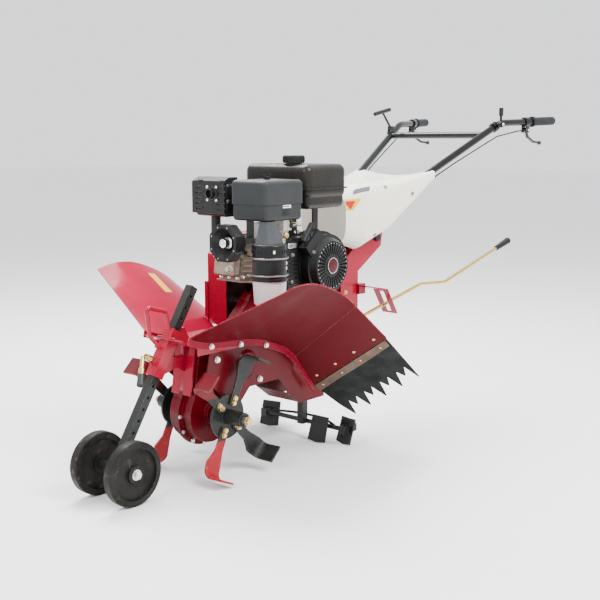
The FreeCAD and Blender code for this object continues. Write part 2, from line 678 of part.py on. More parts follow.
def recoil_cover():
    """Starter dome with radial air slots and a centre cap."""
    rim = across(CRANK_X, CRANK_Z, 150, 178, 96)
    dome = Part.makeCone(88, 76, 18, V(CRANK_X, 178, CRANK_Z), ACROSS)
    mouth = box(-40, 40, 150, 182, 70, 118)
    mouth.rotate(V(0, 0, 0), ACROSS, 42)
    mouth.translate(V(CRANK_X, 0, CRANK_Z))
    dome = fuse([rim, dome, mouth])
    dome = dome.cut(across(CRANK_X, CRANK_Z, 149, 192, 72))
    dome = fuse([dome, across(CRANK_X, CRANK_Z, 189, 193, 76)])
    slots = []
    for i in range(32):
        slot = box(-2.1, 2.1, 186, 200, 36, 71)
        slot.rotate(V(0, 0, 0), ACROSS, 11.25 * i)
        slot.translate(V(CRANK_X, 0, CRANK_Z))
        slots.append(slot)
    dome = dome.cut(Part.makeCompound(slots))
    post = across(CRANK_X, CRANK_Z, 188, 198, 28)
    post = post.makeFillet(2.0, [post.Edges[0]])
    a, b = rope_line()
    return fuse([dome, post]).cut(rod(a - (b - a) * 0.1, b + (b - a) * 0.5, 2.6))


def rope_line():
    """Start rope, from inside the dome out to the grip."""
    out = V(0.62, 0, 0.50).normalize()
    start = V(CRANK_X, 166, CRANK_Z) + V(28, 0, 60)
    return start, start + out * 60


def starter_grip():
    """Start rope end and its T-shaped grip."""
    a, b = rope_line()
    out = (b - a).normalize()
    rope = rod(a, b + out * 8, 2.2)
    side = out.cross(ACROSS).normalize()
    bar = rod(b + out * 12 - side * 34, b + out * 12 + side * 34, 9)
    bar = bar.makeFillet(3, [e for e in bar.Edges if e.Closed])
    neck = Part.makeCone(6, 8, 10, b + out * 2, out)
    return fuse([rope, bar, neck])


def fuel_tank():
    """Two-shell tank with a seam flange, standing on four lugs above the crankcase."""
    upper = soft_box(-456, -259, -115, 150, 800, 908, 24)
    lower = soft_box(-450, -265, -109, 144, 772, 850, 16)
    flange = box(-463, -252, -122, 157, 832, 836)
    flange = flange.makeFillet(24, [e for e in flange.Edges if abs(e.tangentAt(0).z) > 0.9])
    neck = Part.makeCylinder(26, 10, V(-300, 60, 904), UP)
    body = fuse([upper, lower, flange, neck])
    hollow = fuse([soft_box(-453, -262, -112, 147, 803, 905, 21),
                   soft_box(-447, -268, -106, 141, 775, 847, 13)])
    body = body.cut(hollow)
    return body.cut(Part.makeCylinder(18, 30, V(-300, 60, 890), UP))


def tank_posts():
    """Sheet frames between the tank's foot and the crankcase, one on each side."""
    frames = []
    for y in (-36, 54):
        posts = [box(x - 12, x + 12, y - 3, y + 3, 689, 770) for x in (-410, -285)]
        rail = box(-427, -273, y - 12, y + 12, 768, 772)
        pad = box(-427, -273, y - 10, y + 10, 688, 690)
        frames.append(fuse(posts + [rail, pad]))
    return group(frames)


def fuel_cap():
    """Ribbed screw cap."""
    cap = Part.makeCylinder(33, 20, V(-300, 60, 915), UP)
    cap = cap.makeFillet(4, [e for e in cap.Edges if e.Closed and e.BoundBox.ZMin > 930])
    ribs = []
    for i in range(24):
        rib = box(32, 35, -1.8, 1.8, 0, 15)
        rib.rotate(V(0, 0, 0), UP, 15 * i)
        rib.translate(V(-300, 60, 915))
        ribs.append(rib)
    skirt = Part.makeCylinder(33, 4, V(-300, 60, 911), UP)
    skirt = skirt.cut(Part.makeCylinder(27, 4, V(-300, 60, 911), UP))
    plug = Part.makeCylinder(17.5, 16, V(-300, 60, 900), UP)
    return fuse([cap, skirt, plug] + ribs)


def air_cleaner():
    """Filter box: a deep lid over a shallow tray, with the lid's centre stud."""
    x0, x1, y0, y1 = -214, -44, 34, 176
    lid = soft_box(x0, x1, y0, y1, 780, 866, 14)
    lid = lid.cut(box(x0 - 1, x1 + 1, y0 - 1, y1 + 1, 770, 796))
    tray = soft_box(x0 + 4, x1 - 4, y0 + 4, y1 - 4, 748, 812, 10)
    tray = tray.cut(box(x0, x1, y0, y1, 796, 820))
    shell = fuse([lid, tray])
    hollow = box(x0 + 14, x1 - 14, y0 + 14, y1 - 14, 758, 856)
    stud = Part.makeCylinder(4, 12, V(-129, 105, 864), UP)
    return fuse([shell.cut(hollow), stud])


def wing_nut():
    """Two-eared nut on the filter lid."""
    nut = Part.makeCylinder(8, 8, V(-129, 105, 866.4), UP)
    ears = [box(-129 + a, -129 + b, 103.5, 106.5, 868, 882) for a, b in ((4, 17), (-17, -4))]
    return fuse([nut] + ears).cut(Part.makeCylinder(4 + RUN, 30, V(-129, 105, 860), UP))


def loft(sections, solid=True):
    """Straight-sided body through a list of outlines."""
    return Part.makeLoft(sections, solid, True)


def rect_wire(x0, x1, y0, y1, z):
    """Level rectangle used as one outline of a loft."""
    return Part.makePolygon([V(x0, y0, z), V(x1, y0, z), V(x1, y1, z), V(x0, y1, z), V(x0, y0, z)])


def air_duct():
    """Tapered duct from the tray's corner down to the dust canister."""
    return loft([rect_wire(-98, -50, 148, 172, 748), rect_wire(-70, -8, 168, 220, 690)])


def canister_part(z0, z1, r):
    """Upright disc on the dust canister's centre line."""
    return Part.makeCylinder(r, z1 - z0, V(-33, 200, z0), UP)


def dust_canister():
    """Pre-cleaner canister with its two clamp bands."""
    body = canister_part(592, 690, 50)
    body = body.makeFillet(6, [e for e in body.Edges if e.Closed and e.BoundBox.ZMin > 680])
    bands = [canister_part(648, 656, 52.5), canister_part(586, 594, 53.5)]
    return fuse([body] + bands).cut(canister_part(580, 684, 46))


def dust_bowl():
    """Clear bowl under the canister."""
    bowl = Part.makeCone(44, 49, 72, V(-33, 200, 514), UP)
    bowl = bowl.makeFillet(8, [e for e in bowl.Edges if e.Closed and e.BoundBox.ZMax < 520])
    return bowl.cut(Part.makeCone(41, 46, 72, V(-33, 200, 518), UP))


def carburettor():
    """Carburettor with its float bowl, intake flange and linkage plate."""
    body = box(-196, -124, 40, 92, 684, 736)
    bowl = Part.makeCylinder(20, 26, V(-168, 100, 690), UP)
    throat = rod(V(-168, 88, 716), V(-168, 138, 716), 18)
    riser = box(-186, -150, 120, 150, 716, 748)
    whole = fuse([body, bowl, throat, riser])
    return whole.cut(fuse([crankcase(), cylinder_head()]))


def muffler():
    """Silencer box with a bevelled, louvred front shield and its round outlet."""
    shell = soft_box(-214, -66, -142, -4, 752, 856, 14)
    front = box(-68, -60, -144, -6, 762, 858)
    top = plate([(-68, 850), (-60, 850), (-60, 860), (-84, 871), (-120, 871), (-120, 850)], -140, -8)
    shield = fuse([front, top])
    for row in range(5):
        for a, b in ((-38, -16), (-128, -98)):
            z = 772 + 16 * row
            shield = shield.cut(box(-64, -50, a, b, z, z + 5))
    shell = fuse([shell, shield, rod(V(-70, -58, 822), V(-46, -58, 822), 15)])
    return shell.cut(rod(V(-64, -58, 822), V(-40, -58, 822), 12))


def exhaust_pipe():
    """Bent pipe from the head's port up to the silencer."""
    return bent_rod([V(-96, -38, 636), V(-96, -78, 636), V(-96, -78, 753)], 15, 24)


def headlamp():
    """Eight-sided lamp shell with its reflector cup, bulb shield and tilt lug."""
    c = LAMP
    turns = [math.radians(22.5 + 45 * i) for i in range(8)]
    shell = face_of([V(c.x - 36, c.y + 57 * math.cos(t), c.z + 57 * math.sin(t)) for t in turns])
    shell = shell.extrude(V(36, 0, 0))
    back = Part.makeCone(30, 52, 30, V(c.x - 66, c.y, c.z), AHEAD)
    cup = Part.makeCone(16, 45, 34, V(c.x - 32, c.y, c.z), AHEAD)
    front = V(c.x - 12, c.y, c.z)
    bulb = fuse([rod(V(c.x - 34, c.y, c.z), front, 12), Part.makeSphere(12, front)])
    lug = box(c.x - 84, c.x - 60, c.y - 7, c.y + 7, c.z - 8, c.z + 8)
    lamp = fuse([fuse([shell, back]).cut(cup), bulb, lug])
    return lamp.cut(across(c.x - 76, c.z, c.y - 20, c.y + 20, 4 + RUN))


def lamp_bracket():
    """Fork with the lamp's tilt pin, hung from the filter tray."""
    c = LAMP
    pin = across(c.x - 76, c.z, c.y - 15, c.y + 15, 4)
    ears = [box(c.x - 116, c.x - 68, y, y + 5, c.z - 9, c.z + 9) for y in (c.y - 12.4, c.y + 7.4)]
    stem = box(c.x - 118, c.x - 112, c.y - 13, c.y + 13, c.z - 9, 748)
    return fuse([pin, stem] + ears)


# ---- handlebar ----------------------------------------------------------------------------------
def bar_point(side, share):
    """Point along a handlebar tube's straight run, from the yoke to the bend."""
    a = V(-690, side * 100, 751)
    b = V(-1278, side * 225, 1044)
    return a + (b - a) * share


def handlebar():
    """Two tubes from the yoke back to the grips, the crossbar and the yoke on the tilt bolt."""
    parts = []
    for s in (-1, 1):
        end = V(-1562, s * 292, 1056)
        parts.append(bent_rod([bar_point(s, 0), bar_point(s, 1), end], BAR_R, 110))
    parts.append(rod(bar_point(-1, REVERSE_AT), bar_point(1, REVERSE_AT), BAR_R))
    parts.append(rod(bar_point(-1, 0.02), bar_point(1, 0.02), 14))
    yoke = plate([(-674, 740), (-690, 768), (-716, 764), (-762, 660), (-758, 636), (-728, 632)], -44, 44)
    yoke = yoke.cut(box(-780, -660, -36, 36, 600, 732))
    parts.append(yoke)
    parts.append(across(PIVOT_X, PIVOT_Z, -66, 66, 8))
    for s in (-1, 1):
        parts.append(hexagon(V(PIVOT_X, s * 57, PIVOT_Z), ACROSS * s, 24, 9))
    return fuse(parts)


def grip(side):
    """Ribbed rubber grip on a tube's end."""
    direction = (V(-1562, side * 292, 1056) - bar_point(side, 1)).normalize()
    end = V(-1562, side * 292, 1056)
    start = end - direction * 118
    body = rod(start, end + direction * 5, 16)
    body = body.makeFillet(4, [e for e in body.Edges if e.Closed])
    collar = rod(start, start + direction * 7, 20)
    return fuse([body, collar]).cut(rod(start - direction, end, BAR_R))


def shroud_section(x, half, top, low, dip, wall):
    """One cross-section of the cover: bulged flanks and a dished top, shrunk by the wall inside."""
    count = 28
    points = []
    for i in range(count):
        t = 2 * math.pi * i / count
        y = abs(math.cos(t)) ** 0.55 * math.copysign(1, math.cos(t))
        z = abs(math.sin(t)) ** 0.55 * math.copysign(1, math.sin(t))
        middle = (top + low) / 2.0
        height = (top - low) / 2.0 - wall
        sink = dip * (1 - y * y) if z > 0 else 0
        points.append(V(x, y * (half - wall), middle + z * height - sink))
    return Part.makePolygon(points + [points[0]])


def handle_shroud():
    """Moulded cover over the handlebar's foot, hollow, open below round the yoke."""
    stations = ((-520, 96, 812, 640, 4), (-600, 122, 846, 616, 8), (-720, 146, 862, 668, 16),
                (-830, 160, 876, 752, 26), (-925, 174, 890, 834, 34))
    outer = loft([shroud_section(*s, 0) for s in stations])
    inner = loft([shroud_section(*s, 4) for s in stations])
    shell = outer.cut(inner.common(box(-921, -524, -400, 400, 500, 1000)))
    shell = shell.cut(box(-800, -560, -62, 62, 500, 740))
    for s in (-1, 1):
        shell = shell.cut(rod(bar_point(s, 0.2), bar_point(s, 0.6), BAR_R + 0.4)).cut(hand_cable(s, 3.2))
    return shell


def lever_frame(side):
    """Bracket place under a tube, and the tube's direction there."""
    end = V(-1562, side * 292, 1056)
    direction = (end - bar_point(side, 1)).normalize()
    return end - direction * 150, direction


def lever_bracket(side):
    """Clamp round the tube with two ears for the lever pin."""
    centre, direction = lever_frame(side)
    ring_part = rod(centre - direction * 11, centre + direction * 11, 18)
    ears = [box(centre.x - 12, centre.x + 12, centre.y + a, centre.y + b, centre.z - 40, centre.z - 12)
            for a, b in ((-11, -7), (7, 11))]
    pin = across(centre.x, centre.z - LEVER_DROP, centre.y - 13, centre.y + 13, 3)
    tube = rod(centre - direction * 20, centre + direction * 20, BAR_R)
    return fuse([ring_part.cut(tube)] + ears + [pin])


def hand_lever(side):
    """Flat cranked hand lever under the grip, with a round knob on its end."""
    centre = lever_frame(side)[0]
    pivot = V(centre.x, centre.y, centre.z - LEVER_DROP)
    knees = [pivot, pivot + V(-18, 0, -26), pivot + V(-62, 0, -44), pivot + V(-114, 0, -48)]
    parts = [across(pivot.x, pivot.z, pivot.y - 6.4, pivot.y + 6.4, 9)]
    for a, b in zip(knees, knees[1:]):
        bar = box(0, (b - a).Length, -4, 4, -4, 4)
        bar.Placement = FreeCAD.Placement(a, FreeCAD.Rotation(AHEAD, b - a))
        parts.append(bar)
        parts.append(across(b.x, b.z, b.y - 4.5, b.y + 4.5, 4.4))
    tip = knees[-1]
    knob = across(tip.x, tip.z, tip.y - 6.5, tip.y + 6.5, 8)
    knob = knob.makeFillet(3.5, [e for e in knob.Edges if e.Closed])
    lever = fuse(parts + [knob])
    return lever.cut(across(pivot.x, pivot.z, pivot.y - 40, pivot.y + 40, 3 + RUN))


def throttle_mount():
    """Clamp on the left tube with the throttle lever's stud."""
    p = bar_point(1, THROTTLE_AT)
    along = (bar_point(1, 1) - bar_point(1, 0)).normalize()
    clamp = rod(p - along * 9, p + along * 9, 18).cut(rod(p - along * 20, p + along * 20, BAR_R))
    stud = rod(p + V(0, 14, 10), p + V(0, 36, 10), 4)
    return [clamp, stud]


def throttle_lever():
    """Upright thumb paddle."""
    p = bar_point(1, THROTTLE_AT) + V(0, 0, 10)
    hub = across(p.x, p.z, p.y + 22, p.y + 32, 12)
    stem = box(p.x - 4, p.x + 4, p.y + 24, p.y + 30, p.z + 4, p.z + 36)
    paddle = soft_box(p.x - 8, p.x + 8, p.y + 21, p.y + 33, p.z + 30, p.z + 60, 3)
    return fuse([hub, stem, paddle]).cut(across(p.x, p.z, p.y + 10, p.y + 40, 4 + RUN))


def control_mounts():
    """Clamps, ears and pins for the hand controls."""
    p = bar_point(-1, REVERSE_AT)
    post = [across(p.x, p.z + REVERSE_LIFT, p.y - 10, p.y + 10, 4)]
    for y in (p.y - 10, p.y + 7):
        post.append(box(p.x - 8, p.x + 8, y, y + 3, p.z + 6, p.z + REVERSE_LIFT + 8))
    post.append(box(p.x - 12, p.x + 12, p.y - 10, p.y + 10, p.z + 6, p.z + 14))
    mounts = [lever_bracket(-1), lever_bracket(1), fuse(throttle_mount()), fuse(post)]
    bars = handlebar()
    return group([part.cut(bars) for part in mounts])


def reverse_handle():
    """T-shaped pull handle on a leaning rod."""
    p = bar_point(-1, REVERSE_AT) + V(0, 0, REVERSE_LIFT)
    top = p + V(58, 0, 62)
    stem = rod(p, top, 4.5)
    eye = across(p.x, p.z, p.y - 6.4, p.y + 6.4, 8)
    bar = rod(top - V(-50, 0, 10), top + V(-50, 0, 10), 8)
    bar = bar.makeFillet(2.5, [e for e in bar.Edges if e.Closed])
    return fuse([stem, eye, bar]).cut(across(p.x, p.z, p.y - 10, p.y + 10, 4 + RUN))


def shift_lever():
    """Long bent rod from its pivot past the gate to beside the operator."""
    p = SHIFT_PIVOT
    points = [p, V(-980, 84, 460), V(-1132, 92, 452), V(-1550, 116, 574)]
    eye = across(p.x, p.z, p.y - 6, p.y + 6, 13)
    rod_part = bent_rod(points, 6.5, 60)
    return fuse([rod_part, eye]).cut(across(p.x, p.z, p.y - 20, p.y + 20, 6 + RUN))


def shift_knob():
    """Tapered knob on the end of the shift rod."""
    a = V(-1478, 111.9, 553)
    b = V(-1567, 117, 579.2)
    knob = Part.makeCone(10, 14, (b - a).Length, a, b - a)
    knob = knob.makeFillet(3, [e for e in knob.Edges if e.Closed])
    return knob.cut(shift_lever())


def shift_stud():
    """Stud on the hitch's left plate that carries the shift rod."""
    p = SHIFT_PIVOT
    return fuse([across(p.x, p.z, 70, 102, 6), across(p.x, p.z, 70, 84, 11), across(p.x, p.z, 99, 104, 11)])


def hand_cable(side, r=2.5):
    """Control cable from a lever bracket forward under the tube and into the cover."""
    centre, direction = lever_frame(side)
    start = centre - direction * 14 + V(0, 0, -30)
    low = V(0, 0, -34)
    points = [start, start - direction * 40 + V(0, 0, -4), bar_point(side, 0.98) + low * 1.25,
              bar_point(side, 0.85) + low * 1.1, bar_point(side, 0.6) + low * 0.86,
              bar_point(side, 0.3) + low * 0.8]
    return bent_rod(points, r, 26)


NODES = {
    "wheel_left": lambda: wheel(1),
    "wheel_right": lambda: wheel(-1),
    "wheel_axle": wheel_axle,
    "wheel_leg": wheel_leg,
    "clamp_crank": clamp_crank,
    "nose_frame": nose_frame,
    "gear_case_left": lambda: case_half(1),
    "gear_case_right": lambda: case_half(-1),
    "side_shields": side_shields,
    "deck_plate": deck_plate,
    "chain": chain,
    "axle_sprocket": lambda: sprocket(AXLE_X, AXLE_Z, AXLE_SPROCKET_R, 15, 34),
    "v_belt": v_belt,
    "crank_pulley": lambda: pulley(CRANK_X, CRANK_Z, CRANK_PULLEY_R, 10),
    "driven_pulley": lambda: pulley(INPUT_X, INPUT_Z, DRIVEN_PULLEY_R, 10),
    "input_shaft": input_shaft,
    "crankshaft": crankshaft,
    "tensioner": tensioner,
    "belt_cover": belt_cover,
    "tine_axle": tine_axle,
    "blades_left": lambda: blade_set(1),
    "blades_right": lambda: blade_set(-1),
    "blade_holders": blade_holders,
    "blade_bolts": blade_bolts,
    "fender_left": lambda: fender(1),
    "fender_right": lambda: fender(-1),
    "fender_flaps": lambda: group([flap(1), flap(-1)]),
    "flap_strips": lambda: group([flap_strip(1), flap_strip(-1)]),
    "frame_bolts": lambda: group(frame_bolts() + [hitch_pin()]),
    "engine_frame": lambda: fuse([engine_frame(), shift_gate()]),
    "rear_hitch": lambda: fuse([rear_hitch(), shift_stud()]),
    "opener_shank": opener_shank,
    "opener_blades": opener_blades,
    "crankcase": crankcase,
    "cylinder_head": cylinder_head,
    "fan_cover": fan_cover,
    "recoil_cover": recoil_cover,
    "starter_grip": starter_grip,
    "fuel_tank": fuel_tank,
    "engine_brackets": lambda: group([tank_posts(), lamp_bracket()]),
    "fuel_cap": fuel_cap,
    "air_cleaner": air_cleaner,
    "wing_nut": wing_nut,
    "air_duct": air_duct,
    "dust_canister": dust_canister,
    "dust_bowl": dust_bowl,
    "carburettor": carburettor,
    "muffler": lambda: fuse([muffler(), exhaust_pipe()]),
    "headlamp": headlamp,
    "handlebar": handlebar,
    "handle_shroud": handle_shroud,
    "grips": lambda: group([grip(1), grip(-1)]),
    "control_mounts": control_mounts,
    "clutch_lever": lambda: hand_lever(1),
    "brake_lever": lambda: hand_lever(-1),
    "throttle_lever": throttle_lever,
    "reverse_handle": reverse_handle,
    "shift_lever": shift_lever,
    "shift_knob": shift_knob,
    "hand_cables": lambda: group([hand_cable(1), hand_cable(-1)]),
}


def main():
    """Writes every node at real size, one STEP file each."""
    os.makedirs("parts", exist_ok=True)
    for name, build in NODES.items():
        shape = build()
        shape.translate(V(-ORIGIN_X, 0, 0))
        shape.exportStep("parts/%s.step" % name)
        b = shape.BoundBox
        print("%-16s solids %3d valid %s vol %9.0f  x %7.1f %7.1f y %7.1f %7.1f z %7.1f %7.1f"
              % (name, len(shape.Solids), shape.isValid(), shape.Volume, b.XMin, b.XMax, b.YMin, b.YMax,
                 b.ZMin, b.ZMax))


if __name__ == "__main__":
    main()
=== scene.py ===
import math
import random

import bmesh
import bpy
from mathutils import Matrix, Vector
from mathutils.bvhtree import BVHTree


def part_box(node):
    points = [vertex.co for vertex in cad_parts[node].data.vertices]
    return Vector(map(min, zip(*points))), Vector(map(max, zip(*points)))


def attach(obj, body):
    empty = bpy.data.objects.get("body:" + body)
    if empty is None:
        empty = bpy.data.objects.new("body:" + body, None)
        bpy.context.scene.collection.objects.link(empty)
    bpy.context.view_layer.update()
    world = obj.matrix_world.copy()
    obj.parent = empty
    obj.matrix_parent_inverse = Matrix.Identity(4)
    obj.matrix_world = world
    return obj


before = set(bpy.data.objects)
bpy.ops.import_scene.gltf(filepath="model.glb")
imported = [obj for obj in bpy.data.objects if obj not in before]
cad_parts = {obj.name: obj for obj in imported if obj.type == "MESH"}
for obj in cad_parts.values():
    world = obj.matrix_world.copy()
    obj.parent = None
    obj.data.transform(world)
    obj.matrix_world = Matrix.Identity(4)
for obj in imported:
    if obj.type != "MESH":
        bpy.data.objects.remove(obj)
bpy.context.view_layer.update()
random.seed(17)
AHEAD, ACROSS, UP = Vector((1, 0, 0)), Vector((0, 1, 0)), Vector((0, 0, 1))


# ---- materials ----------------------------------------------------------------------------------
class Surface:
    """One procedural material: a main shader with helpers that add variation to it."""

    def __init__(self, name, colour, rough, metal=0.0, coat=0.0, gloss=0.5):
        self.material = bpy.data.materials.new(name)
        self.material.use_nodes = True
        self.nodes = self.material.node_tree.nodes
        self.links = self.material.node_tree.links
        self.shader = self.nodes["Principled BSDF"]
        self.shader.inputs["Metallic"].default_value = metal
        self.shader.inputs["Coat Weight"].default_value = coat
        self.shader.inputs["Coat Roughness"].default_value = 0.08
        self.shader.inputs["Specular IOR Level"].default_value = gloss
        self.place = self.nodes.new("ShaderNodeTexCoord").outputs["Object"]
        self.colour = self.rgb(colour)
        self.rough = self.number(rough)
        self.bump_from = None

    def rgb(self, colour):
        node = self.nodes.new("ShaderNodeRGB")
        node.outputs[0].default_value = (*colour, 1)
        return node.outputs[0]

    def number(self, value):
        node = self.nodes.new("ShaderNodeValue")
        node.outputs[0].default_value = value
        return node.outputs[0]

    def stretched(self, scale):
        node = self.nodes.new("ShaderNodeMapping")
        node.inputs["Scale"].default_value = scale
        self.links.new(self.place, node.inputs["Vector"])
        return node.outputs[0]

    def noise(self, scale, detail=4.0, rough=0.55, stretch=(1, 1, 1)):
        node = self.nodes.new("ShaderNodeTexNoise")
        node.inputs["Scale"].default_value = scale
        node.inputs["Detail"].default_value = detail
        node.inputs["Roughness"].default_value = rough
        self.links.new(self.stretched(stretch), node.inputs["Vector"])
        return node.outputs["Fac"]

    def ramp(self, value, low, high):
        """Value stretched so that low gives 0 and high gives 1."""
        node = self.nodes.new("ShaderNodeMapRange")
        node.inputs["From Min"].default_value = low
        node.inputs["From Max"].default_value = high
        self.links.new(value, node.inputs["Value"])
        return node.outputs[0]

    def times(self, a, b):
        node = self.nodes.new("ShaderNodeMath")
        node.operation = "MULTIPLY"
        for socket, value in zip(node.inputs, (a, b)):
            if isinstance(value, float):
                socket.default_value = value
            else:
                self.links.new(value, socket)
        return node.outputs[0]

    def tint(self, mask, colour, share=1.0):
        """Mixes colour in where mask is high."""
        node = self.nodes.new("ShaderNodeMix")
        node.data_type = "RGBA"
        self.links.new(self.times(mask, share), node.inputs["Factor"])
        self.links.new(self.colour, node.inputs["A"])
        node.inputs["B"].default_value = (*colour, 1)
        self.colour = node.outputs["Result"]
        return self

    def rougher(self, mask, value, share=1.0):
        """Moves the roughness towards value where mask is high."""
        node = self.nodes.new("ShaderNodeMix")
        self.links.new(self.times(mask, share), node.inputs["Factor"])
        self.links.new(self.rough, node.inputs["A"])
        node.inputs["B"].default_value = value
        self.rough = node.outputs["Result"]
        return self

    def bump(self, height, strength, depth):
        node = self.nodes.new("ShaderNodeBump")
        node.inputs["Strength"].default_value = strength
        node.inputs["Distance"].default_value = depth
        self.links.new(height, node.inputs["Height"])
        if self.bump_from:
            self.links.new(self.bump_from, node.inputs["Normal"])
        self.bump_from = node.outputs[0]
        return self

    def rounded(self, radius):
        """Softens every sharp edge of the mesh by this radius in shading."""
        node = self.nodes.new("ShaderNodeBevel")
        node.samples = 6
        node.inputs["Radius"].default_value = radius
        self.bump_from = node.outputs[0]
        return self

    def edge_mask(self, radius, low, high):
        """High along convex and concave edges, broken up by noise."""
        bevel = self.nodes.new("ShaderNodeBevel")
        bevel.samples = 6
        bevel.inputs["Radius"].default_value = radius
        flat = self.nodes.new("ShaderNodeNewGeometry").outputs["True Normal"]
        dot = self.nodes.new("ShaderNodeVectorMath")
        dot.operation = "DOT_PRODUCT"
        self.links.new(bevel.outputs[0], dot.inputs[0])
        self.links.new(flat, dot.inputs[1])
        edge = self.ramp(dot.outputs["Value"], low, high)
        return self.times(edge, self.ramp(self.noise(90, 5, 0.7), 0.42, 0.62))

    def facing(self, axis, low, high):
        """Rises from 0 to 1 as a face's normal turns along the given axis from low to high."""
        geo = self.nodes.new("ShaderNodeNewGeometry").outputs["Normal"]
        split = self.nodes.new("ShaderNodeSeparateXYZ")
        self.links.new(geo, split.inputs[0])
        return self.ramp(split.outputs[axis], low, high)

    def beyond(self, axis, low, high):
        """Rises from 0 to 1 as the place along the given axis goes from low to high, in metres."""
        split = self.nodes.new("ShaderNodeSeparateXYZ")
        self.links.new(self.place, split.inputs[0])
        return self.ramp(split.outputs[axis], low, high)

    def done(self):
        self.links.new(self.colour, self.shader.inputs["Base Color"])
        self.links.new(self.rough, self.shader.inputs["Roughness"])
        if self.bump_from:
            self.links.new(self.bump_from, self.shader.inputs["Normal"])
        return self.material


def enamel(name, colour, deep, rough=0.2, wear=(0.24, 0.2, 0.18), worn=0.5, dust=0.16, under=None,
           coat=0.12, gloss=0.2):
    """Sprayed gloss paint with thin chips along edges; under, when given, is painted shade that darkens the
    colour of faces that look down.
    """
    s = Surface(name, colour, rough, coat=coat, gloss=gloss).rounded(0.0016)
    s.tint(s.ramp(s.noise(7, 3), 0.35, 0.7), deep, 0.55)
    s.tint(s.ramp(s.noise(46, 6, 0.7), 0.56, 0.72), deep, 0.4)
    s.tint(s.ramp(s.noise(340, 3, 0.7), 0.62, 0.74), (0.62, 0.55, 0.5), dust * 0.5)
    if under:
        # painted shade: faces that look down take the darker under colour
        s.tint(s.facing("Z", 0.15, -0.25), under, 0.9)
        s.rougher(s.facing("Z", 0.15, -0.25), 0.5, 0.8)
    s.tint(s.edge_mask(0.0013, 0.985, 0.9), wear, worn)
    s.rougher(s.ramp(s.noise(12, 5, 0.65), 0.4, 0.7), rough + 0.14, 0.5)
    s.rougher(s.ramp(s.noise(160, 4), 0.55, 0.75), 0.62, 0.3)
    s.bump(s.noise(620, 2), 0.1, 0.0004)
    return s.bump(s.noise(26, 3), 0.12, 0.002).done()


def moulded(name, colour, light, rough=0.42, grain=0.25, dust=0.22):
    """Fine-textured moulded plastic with dust on its upper faces."""
    s = Surface(name, colour, rough, gloss=0.2).rounded(0.0012)
    s.tint(s.ramp(s.noise(9, 4), 0.35, 0.7), light, 0.35)
    settled = s.times(s.facing("Z", 0.3, 0.95), s.ramp(s.noise(24, 6, 0.7), 0.35, 0.7))
    s.tint(settled, (0.36, 0.34, 0.31), dust)
    s.tint(s.edge_mask(0.001, 0.985, 0.9), light, 0.7)
    s.rougher(s.ramp(s.noise(30, 5, 0.6), 0.4, 0.7), min(rough + 0.22, 0.9), 0.6)
    s.bump(s.noise(1500, 2), grain, 0.0003)
    return s.bump(s.noise(60, 4), 0.08, 0.001).done()


def rubber(name, colour, mud=0.35, rough=0.7):
    """Black rubber, chalky in places, with dried earth in its corners."""
    s = Surface(name, colour, rough, gloss=0.16).rounded(0.0015)
    s.tint(s.ramp(s.noise(14, 5, 0.65), 0.4, 0.7), tuple(c * 2.0 + 0.012 for c in colour), 0.6)
    s.tint(s.ramp(s.noise(34, 8, 0.75), 0.56, 0.7), (0.17, 0.12, 0.07), mud)
    s.rougher(s.ramp(s.noise(20, 5), 0.4, 0.7), 0.88, 0.7)
    s.bump(s.noise(700, 4, 0.7), 0.3, 0.0005)
    return s.bump(s.noise(40, 5), 0.2, 0.0015).done()


def bare(name, colour, rough=0.3, stain=(0.2, 0.15, 0.11), stained=0.4, brushed=(1, 1, 1)):
    """Machined or plated metal with fine tool marks and stains."""
    s = Surface(name, colour, rough, metal=1.0).rounded(0.0006)
    s.tint(s.ramp(s.noise(38, 6, 0.7), 0.48, 0.72), stain, stained)
    s.tint(s.ramp(s.noise(220, 4), 0.5, 0.75), tuple(min(1, c * 1.25) for c in colour), 0.5)
    s.rougher(s.ramp(s.noise(55, 5, 0.65), 0.42, 0.68), min(rough + 0.28, 0.9), 0.7)
    s.bump(s.noise(520, 3, 0.6, brushed), 0.16, 0.0003)
    return s.done()


def casting(name, colour, dark, rough=0.48):
    """Rough cast alloy, sandy and oil-stained."""
    s = Surface(name, colour, rough, metal=0.75).rounded(0.0018)
    s.tint(s.ramp(s.noise(22, 6, 0.7), 0.4, 0.68), dark, 0.75)
    s.tint(s.ramp(s.noise(7, 3), 0.45, 0.7), tuple(c * 0.45 for c in dark), 0.5)
    s.tint(s.edge_mask(0.0014, 0.985, 0.9), (0.78, 0.74, 0.68), 0.7)
    s.rougher(s.ramp(s.noise(60, 5), 0.4, 0.7), 0.72, 0.7)
    s.bump(s.noise(420, 4, 0.7), 0.55, 0.0006)
    return s.bump(s.noise(90, 3), 0.2, 0.0012).done()


def rusty(name):
    """Mill-scaled steel strip that has started to rust."""
    s = Surface(name, (0.07, 0.05, 0.04), 0.6, metal=0.35).rounded(0.0008)
    s.tint(s.ramp(s.noise(30, 8, 0.75), 0.4, 0.66), (0.2, 0.09, 0.035), 0.9)
    s.tint(s.ramp(s.noise(90, 6, 0.7), 0.55, 0.72), (0.045, 0.05, 0.04), 0.8)
    s.tint(s.ramp(s.noise(12, 3), 0.5, 0.75), (0.16, 0.12, 0.09), 0.6)
    s.bump(s.noise(260, 5, 0.7), 0.5, 0.0007)
    return s.done()


